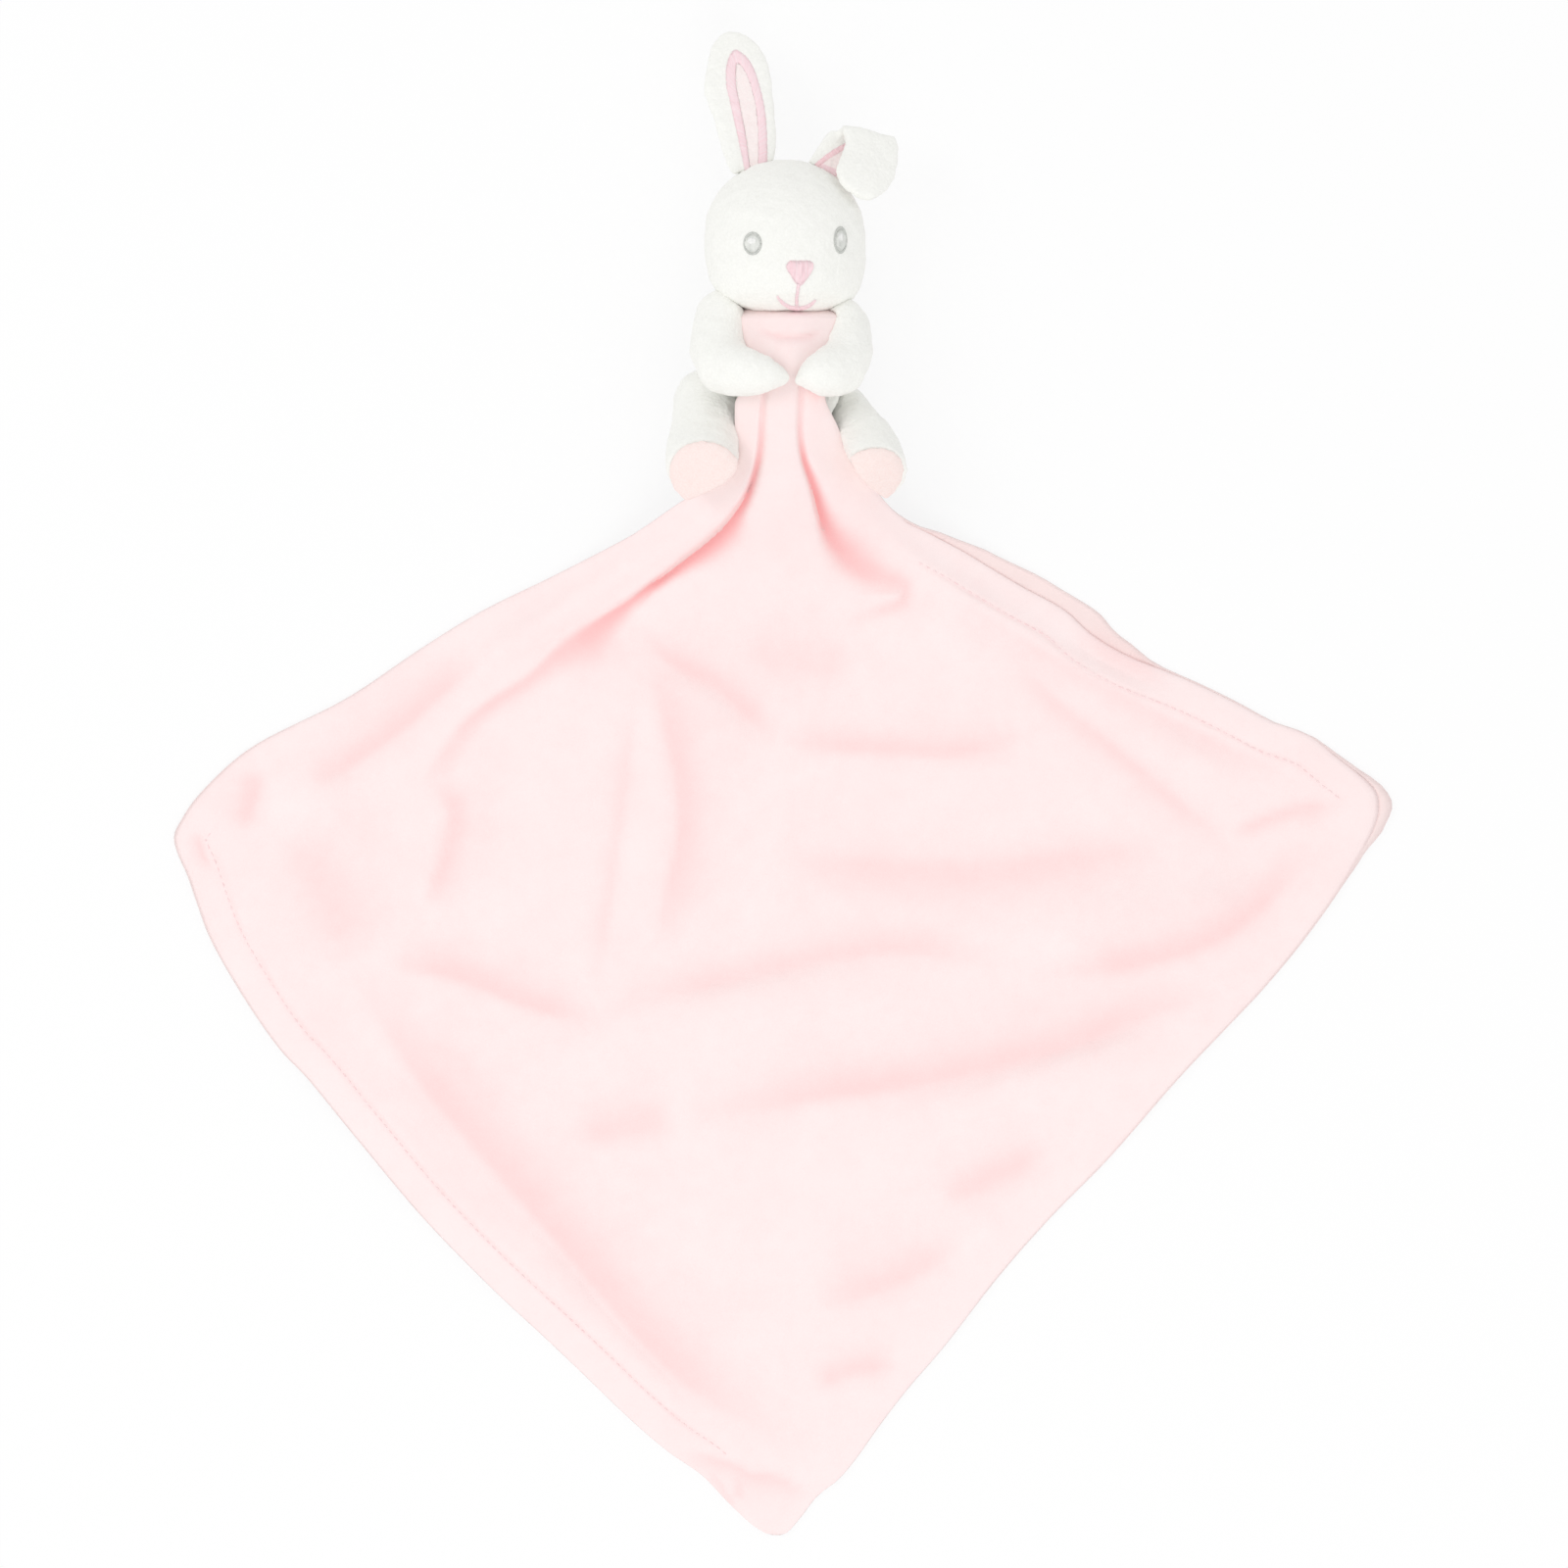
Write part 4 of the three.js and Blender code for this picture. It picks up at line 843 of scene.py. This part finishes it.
def panel(name, rows, columns, upper, material):
    """A velour panel as a grid of photograph rows, draped over the body and the floor."""
    left = edge_at(LEFT_EDGE, rows)
    right = edge_at(RIGHT_EDGE, rows)
    if not upper:
        right = right + between(BACK_PEEK, rows)
    share = np.linspace(0, 1, columns)
    u = (left[:, None] * (1 - share) + right[:, None] * share).ravel()
    v = np.repeat(rows, columns)
    flat = np.array([floor_point(a, b)[:2] for a, b in zip(u, v)])
    centre = np.array(CAMERA_PLACE[:2])
    places = flat.copy()
    for _ in range(DRAPE_ROUNDS):
        height, depth = cloth_height(places)
        places = centre + (flat - centre) * (1 - height / CAMERA_HEIGHT)[:, None]
    to_edge = np.abs(distance_along(flat, outline_of(rows, left, right))[0])
    round_off = np.sqrt(np.clip(1 - (1 - np.clip(to_edge / EDGE_ROLL, 0, 1)) ** 2, 0, 1))
    z = height + (EDGE_HALF + (CLOTH_HALF - EDGE_HALF) * round_off) * (1 if upper else -1)
    sewn = hem_shown(v, u * 2 < np.repeat(left + right, columns))
    if upper:
        swell = HEM_SWELL * bell(to_edge - HEM_INSET / 2, 5 * MM)
        dent = HEM_DENT * bell(to_edge - HEM_INSET, 0.9 * MM)
        z += (swell - dent) * sewn * round_off
    points = np.column_stack([places, np.maximum(z, LOWEST)])
    index = np.arange(len(points)).reshape(len(rows), columns)
    corners = np.stack([index[:-1, :-1], index[1:, :-1], index[1:, 1:], index[:-1, 1:]], axis=-1)
    mesh = bpy.data.meshes.new(name)
    mesh.from_pydata(points.tolist(), [], corners.reshape(-1, 4).tolist())
    piece = new_piece(name, mesh, material)
    # The fold attribute holds painted shade: in the valleys of the folds and pleats, and in a line along the
    # hem's dent
    hem_shade = HEM_SHADE * sewn * bell(to_edge - HEM_INSET, 1.2 * MM)
    write_attribute(mesh, "fold", np.clip(np.maximum(depth, hem_shade), 0, 1))
    if not upper:
        mesh.flip_normals()
    return piece


TOP_ROW = 314
FEET_ROW = 640
LAST_ROW = 1565


def photograph_rows(fine, coarse):
    """Rows of the photograph for a grid: fine ones over the body, coarse ones below the feet."""
    upper_rows = np.arange(TOP_ROW, FEET_ROW, fine)
    lower_rows = np.arange(FEET_ROW, LAST_ROW, coarse)
    return np.concatenate([upper_rows, lower_rows, [LAST_ROW + 0.4]])


front_rows = photograph_rows(3, 6.5)
back_rows = photograph_rows(6, 8)
front = panel("blanket_front_velour", front_rows, columns=190, upper=True, material=front_velour)
back = panel("blanket_back_velour", back_rows, columns=110, upper=False, material=back_velour)
for cloth, node, slot in (
    (front, "blanket_front_panel", "blanket_velour_front"),
    (back, "blanket_back_panel", "blanket_velour_back"),
):
    apply_modifier(cloth, "SOLIDIFY", thickness=CLOTH_THICKNESS, offset=-1)
    shade_smooth(cloth)
    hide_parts(node)
    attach(cloth, "torso")


# Embroidery: satin stitches, each a small arched strand of thread


STRAND_SIDES = 6
FLATNESS = 0.8


class Stitches:
    """Collects strands and makes one piece of them."""

    def __init__(self, thickness, seed):
        self.thickness = thickness
        self.points = []
        self.faces = []
        self.tones = []
        self.random = np.random.default_rng(seed)

    def strand(self, line, normals, rise):
        """A strand along the line, pressed in at its ends and lifted by rise in its middle."""
        line = np.array([list(point) for point in line])
        normals = np.array([list(normal) for normal in normals])
        count = len(line)
        across = unit(np.cross(unit(np.gradient(line, axis=0)), normals))
        start = len(self.points)
        tone = self.random.uniform(0, 1)
        for number in range(count):
            share = number / (count - 1)
            arch = 1 - (2 * share - 1) ** 4
            middle = line[number] + normals[number] * rise * arch
            width = self.thickness / 2 * (0.55 + 0.45 * arch)
            for turn in range(STRAND_SIDES):
                angle = turn * 2 * math.pi / STRAND_SIDES
                beside = across[number] * math.cos(angle) * width
                above = normals[number] * math.sin(angle) * width * FLATNESS
                self.points.append(middle + beside + above)
                self.tones.append(tone)
        for number in range(count - 1):
            ring = start + number * STRAND_SIDES
            for turn in range(STRAND_SIDES):
                a = ring + turn
                b = ring + (turn + 1) % STRAND_SIDES
                self.faces.append((a, b, b + STRAND_SIDES, a + STRAND_SIDES))
        first = range(start, start + STRAND_SIDES)
        last = range(len(self.points) - STRAND_SIDES, len(self.points))
        self.faces.append(tuple(reversed(first)))
        self.faces.append(tuple(last))

    def piece(self, name, material, nodes, slot, body):
        """One piece of all strands, which stands for the given CAD nodes."""
        mesh = bpy.data.meshes.new(name)
        mesh.from_pydata([list(map(float, point)) for point in self.points], [], self.faces)
        write_attribute(mesh, "tone", self.tones)
        piece = new_piece(name, mesh, material)
        with edited(mesh) as shape:
            bmesh.ops.recalc_face_normals(shape, faces=shape.faces)
        shade_smooth(piece)
        if nodes:
            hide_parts(*nodes)
        if body:
            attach(piece, body)
        return piece


CHIN_HEIGHT = 48 * MM


def seen_at(surface, u, v):
    """Where the camera's ray through a pixel meets a surface, or just misses it, and the normal there."""
    ray = (floor_point(u, v) - CAMERA_PLACE).normalized()
    place, normal, _, _ = surface.ray_cast(CAMERA_PLACE, ray)
    if place is None:
        beside = CAMERA_PLACE + ray * ((CAMERA_HEIGHT - CHIN_HEIGHT) / -ray.z)
        place, normal, _, _ = surface.find_nearest(beside, 3 * MM)
    return place, normal


def pixel_strand(stitches, surface, start, end, rise, count=6):
    """A strand between two pixels of the photograph, laid on the surface."""
    line = []
    normals = []
    for share in np.linspace(0, 1, count):
        u, v = (a + (b - a) * share for a, b in zip(start, end))
        place, normal = seen_at(surface, u, v)
        if place is None:
            return
        line.append(place)
        normals.append(normal)
    stitches.strand(line, normals, rise)


SLANT = 0.25


def satin_line(stitches, surface, pixels, width, spacing, rise):
    """Satin stitches side by side along a line of pixels: width is a table of shares and pixels."""
    line = flowing_line(pixels, spacing)
    runs = unit(np.gradient(line, axis=0))
    for place, run, wide in zip(line, runs, between(width, np.linspace(0, 1, len(line)))):
        side = np.array([-run[1], run[0]]) + run * SLANT
        jitter = stitches.random.uniform(-0.25, 0.25, 2)
        start = place + side * (wide / 2 + jitter[0])
        end = place - side * (wide / 2 + jitter[1])
        pixel_strand(stitches, surface, start, end, rise)


def satin_fill(stitches, surface, outline, spacing, rise):
    """Upright satin stitches side by side across a closed outline of pixels."""
    outline = flowing_line(list(outline) + [outline[0]], 1)
    for u in np.arange(outline[:, 0].min() + spacing / 2, outline[:, 0].max(), spacing):
        crossings = []
        for a, b in zip(outline, outline[1:]):
            if (a[0] > u) != (b[0] > u):
                share = (u - a[0]) / (b[0] - a[0])
                crossings.append(a[1] + (b[1] - a[1]) * share)
        if len(crossings) > 1:
            top = min(crossings) + stitches.random.uniform(-0.35, 0.35)
            bottom = max(crossings) + stitches.random.uniform(-0.35, 0.35)
            pixel_strand(stitches, surface, (u, top), (u, bottom), rise, count=7)


head_surface = surface_of(head)


def oval(u, v, half_width, half_height, count=28):
    """The outline of an oval round a pixel."""
    angles = np.linspace(0, 2 * math.pi, count, endpoint=False)
    return [(u + half_width * math.cos(a), v + half_height * math.sin(a)) for a in angles]


FINE_THREAD = 0.42 * MM
THICK_THREAD = 0.5 * MM
SATIN_SPACING = 0.8


def embroidered_eye(side, u, v, half_width, half_height):
    """An oval eye: a dark ring of stitches, a paler middle and a white glint of stitches, a painted
    highlight.
    """
    ring = Stitches(FINE_THREAD, seed=71)
    for place in flowing_line(oval(u, v, half_width, half_height) + [(u + half_width, v)], 0.75):
        inner = (u + (place[0] - u) * 0.72, v + (place[1] - v) * 0.79)
        pixel_strand(ring, head_surface, place, inner, 0.28 * MM, count=5)
    middle = Stitches(FINE_THREAD, seed=72)
    disc = oval(u, v, half_width * 0.79, half_height * 0.84)
    satin_fill(middle, head_surface, disc, SATIN_SPACING, 0.4 * MM)
    # The glint: white stitches that paint the eye's highlight
    glint = Stitches(0.4 * MM, seed=73)
    u -= half_width * 0.04
    v -= half_height * 0.22
    spot = oval(u, v, half_width * 0.44, half_height * 0.36, count=14)
    satin_fill(glint, head_surface, spot, SATIN_SPACING, 0.75 * MM)
    ring.piece(side + "_eye_ring", dark_thread, [side + "_eye"], "grey_embroidery_thread", "head")
    middle.piece(side + "_eye_middle", grey_thread, [], "grey_embroidery_thread", "head")
    glint.piece(side + "_eye_glint", painted_glint_thread, [], "grey_embroidery_thread", "head")


embroidered_eye("right", 768, 247.5, 9.5, 12)
embroidered_eye("left", 857.5, 244, 6.8, 14.2)

NOSE = [
    (802.5, 270), (804, 266.5), (807, 264.8), (812, 264.4), (817, 264.6), (822, 264.4), (826.5, 265),
    (829.4, 267.5), (829.8, 272), (828, 277), (824.5, 282.5), (820, 288.5), (816.5, 291), (812.5, 289.5),
    (809, 284), (805.5, 278), (803, 274),
]
nose = Stitches(THICK_THREAD, seed=75)
satin_fill(nose, head_surface, NOSE, spacing=1.0, rise=0.55 * MM)
nose.piece("nose_satin", pink_thread, ["nose"], "pink_embroidery_thread", "head")

STEM_WIDTHS = [(0, 3.6), (1, 3.6)]
LIP_WIDTHS = [(0, 2), (0.4, 3.8), (1, 4.4)]
mouth = Stitches(FINE_THREAD, seed=77)
for pixels, widths in (
    ([(815, 289), (814, 296), (813, 303), (813, 309), (813.5, 313.5)], STEM_WIDTHS),
    ([(793, 301), (796, 305.5), (802, 310.5), (808, 313), (813.5, 313.8)], LIP_WIDTHS),
    ([(832, 305), (829, 308.5), (824, 311.5), (818, 313.4), (813.5, 313.8)], LIP_WIDTHS),
):
    satin_line(mouth, head_surface, pixels, widths, SATIN_SPACING, rise=0.45 * MM)
mouth.piece("mouth_satin", pink_thread, ["mouth"], "pink_embroidery_thread", "head")


# Ear linings and their satin borders, laid on the plush of each ear


FACING = 0.9


def outer_faces(node, outward):
    """An editable shape of the faces of a CAD node that look the given way."""
    shape = bmesh.new()
    shape.from_mesh(frame["nodes"][node].data)
    bmesh.ops.remove_doubles(shape, verts=shape.verts, dist=MERGE_GAP)
    away = [face for face in shape.faces if face.normal.dot(outward) < FACING]
    bmesh.ops.delete(shape, geom=away, context="FACES")
    return shape


def rim_loops(node, outward):
    """The closed outlines of a CAD node's outer side, the longest first."""
    shape = outer_faces(node, outward)
    edges = [edge for edge in shape.edges if edge.is_boundary]
    loops = []
    while edges:
        edge = edges.pop()
        loop = [edge.verts[0], edge.verts[1]]
        growing = True
        while growing:
            growing = False
            for other in edges:
                if loop[-1] in other.verts:
                    loop.append(other.other_vert(loop[-1]))
                    edges.remove(other)
                    growing = True
                    break
        loops.append(np.array([list(vert.co) for vert in loop]))
    shape.free()
    return sorted(loops, key=lambda loop: -np.linalg.norm(np.diff(loop, axis=0), axis=1).sum())


def lengths_along(line):
    """How far along the line each of its points lies."""
    return np.concatenate([[0], np.cumsum(np.linalg.norm(np.diff(line, axis=0), axis=1))])


def points_at(line, marks, places):
    """Points of a line at the given places, where marks are the places of its own points."""
    return np.column_stack([np.interp(places, marks, axis) for axis in line.T])


def evenly(line, spacing):
    """The line again, with points about a spacing apart."""
    lengths = lengths_along(line)
    places = np.linspace(0, lengths[-1], max(2, int(lengths[-1] / spacing)))
    return points_at(line, lengths, places)


PRESS_FROM = 2.5 * MM
PRESS_REACH = 8 * MM
STEEPEST = 0.2


def pressed(surface, place, outward, lift):
    """The place moved along outward onto the surface, and the surface's normal there."""
    start = Vector(place) + outward * PRESS_FROM
    hit, normal, _, _ = surface.ray_cast(start, -outward, PRESS_REACH)
    if hit is None or normal.dot(outward) < STEEPEST:
        return Vector(place) + outward * lift, outward
    return hit + normal * lift, normal


BORDER_THREAD = 0.46 * MM
BORDER_SPACING = 0.36 * MM
SHORTEST_STITCH = 2 * MM


def satin_border(name, node, lining, surface, outward, body, seed):
    """Stitches from the border's outer rim in to the rim of the lining."""
    inner = evenly(rim_loops(lining, outward)[0], 0.2 * MM)
    stitches = Stitches(BORDER_THREAD, seed)
    for place in evenly(rim_loops(node, outward)[0], BORDER_SPACING):
        mate = inner[np.argmin(np.linalg.norm(inner - place, axis=1))]
        if np.linalg.norm(mate - place) < SHORTEST_STITCH:
            continue
        start = place + (place - mate) * stitches.random.uniform(0.0, 0.12)
        spots = [start + (mate - start) * share for share in np.linspace(0, 1, 6)]
        laid = [pressed(surface, spot, outward, 0.1 * MM) for spot in spots]
        stitches.strand([spot for spot, _ in laid], [normal for _, normal in laid], 0.5 * MM)
    return stitches.piece(name, pink_thread, [node], "pink_embroidery_thread", body)


def pixel_of(point):
    """The pixel of the photograph that shows a point."""
    offset = (point - CAMERA_PLACE) * (CAMERA_HEIGHT / (CAMERA_HEIGHT - point.z))
    return PHOTO_CENTRE[0] + offset.x / PIXEL, PHOTO_CENTRE[1] - offset.y / PIXEL


def encloses(outline, pixel):
    """Whether a closed outline of pixels has a pixel inside."""
    inside = False
    for (u1, v1), (u2, v2) in zip(outline, outline[1:] + outline[:1]):
        if (v1 > pixel[1]) != (v2 > pixel[1]):
            share = (pixel[1] - v1) / (v2 - v1)
            if pixel[0] < u1 + (u2 - u1) * share:
                inside = not inside
    return inside


LINING_MARGIN = 1.4 * MM
LINING_DEPTH = 4 * MM
LINING_LIFT = 0.3 * MM
LINING_THICKNESS = 0.28 * MM
LINING_FACING = 0.3


def lining_patch(name, node, ear, outward, body, keep=None, outline=None):
    """Velour inside the border: the ear's own surface there, lifted a little."""
    lining = BVHTree.FromBMesh(outer_faces(node, outward))
    shape = bmesh.new()
    shape.from_mesh(ear.data)
    dropped = []
    for face in shape.faces:
        centre = face.calc_center_median()
        near = lining.find_nearest(centre)[0]
        gap = centre - near
        beside = (gap - outward * gap.dot(outward)).length
        if outline:
            outside = not encloses(outline, pixel_of(centre))
        else:
            outside = beside > LINING_MARGIN or gap.length > LINING_DEPTH
        if face.normal.dot(outward) < LINING_FACING or outside or (keep and not keep(centre)):
            dropped.append(face)
    bmesh.ops.delete(shape, geom=dropped, context="FACES")
    bmesh.ops.delete(shape, geom=[vert for vert in shape.verts if not vert.link_faces], context="VERTS")
    for vert in shape.verts:
        vert.co += vert.normal * LINING_LIFT
    mesh = bpy.data.meshes.new(name)
    shape.to_mesh(mesh)
    shape.free()
    piece = new_piece(name, mesh, lining_velour)
    apply_modifier(piece, "SOLIDIFY", thickness=LINING_THICKNESS, offset=-1)
    shade_smooth(piece)
    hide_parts(node)
    if body:
        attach(piece, body)
    return piece


def outward_of(node, beneath):
    """The way that a thin node's outer side looks: from the node beneath it towards it."""
    shape = bmesh.new()
    shape.from_mesh(frame["nodes"][node].data)
    largest = max(shape.faces, key=lambda face: face.calc_area())
    normal = largest.normal.copy()
    shape.free()
    here = sum(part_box(node), Vector()) / 2
    there = sum(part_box(beneath), Vector()) / 2
    return normal if normal.dot(here - there) > 0 else -normal


def satin_between(name, outer, inner, surface, nodes, material, seed):
    """Stitches from one line of pixels across to another."""
    outer = flowing_line(outer, 1)
    inner = flowing_line(inner, 1)
    shares = np.linspace(0, 1, int(lengths_along(outer)[-1] / SATIN_SPACING))
    starts, ends = (points_at(line, np.linspace(0, 1, len(line)), shares) for line in (outer, inner))
    stitches = Stitches(BORDER_THREAD, seed)
    for start, end in zip(starts, ends):
        jitter = stitches.random.uniform(-0.04, 0.04, 2)
        first = start + (start - end) * jitter[0]
        last = end + (end - start) * jitter[1]
        pixel_strand(stitches, surface, first, last, 0.45 * MM)
    return stitches.piece(name, material, nodes, "pink_embroidery_thread", None)


UPRIGHT_OUTER = [
    (763, 186), (761, 178), (754, 145), (746, 108), (741, 84), (741.5, 66), (745.5, 54), (750, 50), (757, 53),
    (766, 63), (773, 80), (779, 103), (782, 125), (783, 150), (783, 170), (783, 178),
]
UPRIGHT_INNER = [
    (767, 184), (766, 176), (762, 145), (756, 112), (751.5, 90), (750.5, 76), (751, 67), (753, 64), (756, 66),
    (761, 74), (766, 87), (771, 107), (773, 128), (773.5, 150), (773, 171), (773, 179),
]
upright_outline = [(u + 0.5, v) for u, v in UPRIGHT_INNER[:-1]] + [(773.5, 184), (765, 184)]
upright_lining = lining_patch(
    "right_ear_lining_velour", "right_ear_lining", upright_ear,
    outward_of("right_ear_lining", "right_ear_back"), None, outline=upright_outline
)
upright_border = satin_between(
    "right_ear_border_satin", UPRIGHT_OUTER, UPRIGHT_INNER, surface_of(upright_ear),
    ["right_ear_border"], pink_thread, 81
)


def seam_of(joint_name):
    """A joint's place, and the way up from it, square to its axis."""
    joint = next(joint for joint in frame["joints"] if joint["name"] == joint_name)
    axis = Vector(joint["axis"]).normalized()
    upward = Vector((0, 1, 0))
    return Vector(joint["pos_m"]), (upward - axis * upward.dot(axis)).normalized()


def sewn_to_head(pieces):
    """Writes each piece's transform into its mesh, where it stays."""
    for piece in pieces:
        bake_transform(piece)


sewn_to_head([upright_ear, upright_lining, upright_border])

crease, _ = seam_of("left_ear_tip_fold")
base_out = outward_of("left_ear_base_lining", "left_ear_base_back")
tip_out = outward_of("left_ear_tip_lining", "left_ear_tip_back")
parting = (base_out - tip_out).normalized()


def on_base(place):
    """Whether a place of the folded ear lies on its base, not on its free end."""
    return (place - crease).dot(parting) < 0


def on_tip(place):
    return not on_base(place)


base_surface = surface_of(folded_ear, on_base)
base_outline = [(832, 170), (848, 158), (870, 142), (870, 186), (850, 182), (838, 176)]
base_lining = lining_patch(
    "left_ear_base_lining_velour", "left_ear_base_lining", folded_ear, base_out, None, on_base, base_outline
)
base_border = satin_between(
    "left_ear_base_border_satin", [(831, 166.5), (846, 154.5), (862, 145)],
    [(834.5, 170.5), (849, 160), (865, 150.5)], base_surface, ["left_ear_base_border"], deep_pink_thread, 83
)
base_seam = satin_between(
    "left_ear_base_seam_satin", [(838, 164.5), (846, 168), (855, 172)],
    [(835, 170.5), (843, 175), (852, 180)], base_surface, [], pink_thread, 84
)
lining_patch(
    "left_ear_tip_lining_velour", "left_ear_tip_lining", folded_ear, tip_out, "left_ear_tip", on_tip
)
satin_border(
    "left_ear_tip_border_satin", "left_ear_tip_border", "left_ear_tip_lining",
    surface_of(folded_ear, on_tip), tip_out, "left_ear_tip", 85
)

# The folded ear is parted halfway up its base, into its foot and the rest of the ear
PARTED_AT = 6.5 * MM
FOLD_HALF = 1.5 * MM


def parted(piece, place, direction):
    """Cuts the ear's base across, and returns its foot, without the free end that hangs beside it."""
    twin = bpy.data.objects.new(piece.name + "_foot", piece.data.copy())
    bpy.context.scene.collection.objects.link(twin)
    for half, is_foot in ((piece, False), (twin, True)):
        with edited(half.data) as shape:
            faces = [face for face in shape.faces if on_base(face.calc_center_median())]
            edges = list({edge for face in faces for edge in face.edges})
            corners = list({corner for face in faces for corner in face.verts})
            geometry = corners + edges + faces
            bmesh.ops.bisect_plane(shape, geom=geometry, plane_co=place, plane_no=direction)
            away = []
            for face in shape.faces:
                centre = face.calc_center_median()
                in_foot = on_base(centre) and (centre - place).dot(direction) < 0
                if in_foot != is_foot:
                    away.append(face)
            bmesh.ops.delete(shape, geom=away, context="FACES")
    return twin


flop_place, ear_up = seam_of("left_ear_flop")
folded_foot = parted(folded_ear, flop_place + ear_up * PARTED_AT, ear_up)
fold_start = crease - parting * FOLD_HALF
fold_end = crease + parting * FOLD_HALF
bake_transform(folded_ear)
sewn_to_head([folded_foot, base_lining, base_border, base_seam])


# Top stitching round the blanket's hem

STITCH_PITCH = 3.4 * MM
STITCH_LENGTH = 2.3 * MM
STITCH_POINTS = 4
SHORTEST_SEAM = 10
SEAM_BREAK = 12 * MM


def inset_outline(outline, inset):
    """The closed outline moved inwards, with the loops that tight corners make left out."""
    lengths = lengths_along(outline)
    even = points_at(outline, lengths, np.arange(0, lengths[-1], 1 * MM))
    runs = unit(np.roll(even, -3, axis=0) - np.roll(even, 3, axis=0))
    moved = even + np.column_stack([-runs[:, 1], runs[:, 0]]) * inset
    away = np.abs(distance_along(moved, outline)[0])
    return moved[away > inset * 0.97]


cloth_surface = surface_of(front)
hem = Stitches(THICK_THREAD, seed=91)
rows = photograph_rows(3.5, 6)
left_edge = edge_at(LEFT_EDGE, rows)
right_edge = edge_at(RIGHT_EDGE, rows)
seam = inset_outline(outline_of(rows, left_edge, right_edge), HEM_INSET)
seam_u, seam_v = np.array([pixel_of(Vector((x, y, 0))) for x, y in seam]).T
middle = np.interp(seam_v, rows, (left_edge + right_edge) / 2)
seam = seam[hem_shown(seam_v, seam_u < middle) > 0.2]
breaks = np.flatnonzero(np.linalg.norm(np.diff(seam, axis=0), axis=1) > SEAM_BREAK)
for stretch in np.split(seam, breaks + 1):
    if len(stretch) < SHORTEST_SEAM:
        continue
    lengths = lengths_along(stretch)
    for place in np.arange(STITCH_PITCH, lengths[-1] - STITCH_PITCH, STITCH_PITCH):
        line = []
        normals = []
        for x, y in points_at(stretch, lengths, place + STITCH_LENGTH * np.linspace(0, 1, STITCH_POINTS)):
            hit, normal, _, _ = cloth_surface.ray_cast(Vector((x, y, 0.3)), Vector((0, 0, -1)))
            if hit is not None:
                line.append(hit - normal * 0.12 * MM)
                normals.append(normal)
        if len(line) == STITCH_POINTS:
            hem.strand(line, normals, 0.2 * MM)
hem.piece("hem_stitches", hem_thread, [], "blanket_velour_front", "torso")


# Floor and light

STUDIO_SIDE = 6.0
FLOOR_GLOW = 0.82
WORLD_STRENGTH = 0.82

bpy.ops.mesh.primitive_plane_add(size=STUDIO_SIDE, location=(0, 0, 0))
floor = bpy.context.object
floor.name = "floor"
paper = bpy.data.materials.new("white_paper")
paper.use_nodes = True
nodes = paper.node_tree.nodes
links = paper.node_tree.links
matte = nodes["Principled BSDF"]
matte.inputs["Base Color"].default_value = (0.95, 0.95, 0.95, 1)
matte.inputs["Roughness"].default_value = 0.9


def maths(operation, first, second):
    """A sum of two sockets, or of a socket and a number."""
    made = nodes.new("ShaderNodeMath")
    made.operation = operation
    links.new(first, made.inputs[0])
    if isinstance(second, float):
        made.inputs[1].default_value = second
    else:
        links.new(second, made.inputs[1])
    return made.outputs[0]


rays = nodes.new("ShaderNodeLightPath").outputs
seen = maths("MAXIMUM", rays["Is Camera Ray"], rays["Is Glossy Ray"])
seen = maths("MAXIMUM", seen, rays["Is Transmission Ray"])
blend = nodes.new("ShaderNodeMixShader")
links.new(maths("MULTIPLY", seen, FLOOR_GLOW), blend.inputs[0])
links.new(matte.outputs[0], blend.inputs[1])
links.new(nodes.new("ShaderNodeEmission").outputs[0], blend.inputs[2])
links.new(blend.outputs[0], nodes["Material Output"].inputs["Surface"])
floor.data.materials.append(paper)

world = bpy.data.worlds.new("studio")
bpy.context.scene.world = world
world.use_nodes = True
background = world.node_tree.nodes["Background"]
background.inputs["Color"].default_value = (1, 1, 1, 1)
background.inputs["Strength"].default_value = WORLD_STRENGTH


LIGHT_AIM = Vector((0, 0.05, 0))


def soft_light(name, place, size, power):
    """A square lamp that faces the middle of the toy."""
    bpy.ops.object.light_add(type="AREA", location=place)
    lamp = bpy.context.object
    lamp.name = name
    lamp.data.size = size
    lamp.data.energy = power
    lamp.rotation_euler = (LIGHT_AIM - Vector(place)).to_track_quat("-Z", "Y").to_euler()


soft_light("window_light", place=(-1.3, 0.6, 1.6), size=0.9, power=5.4)
soft_light("fill_light", place=(0.35, -1.25, 1.7), size=1.4, power=8)

view = bpy.context.scene.view_settings
view.view_transform = "Standard"
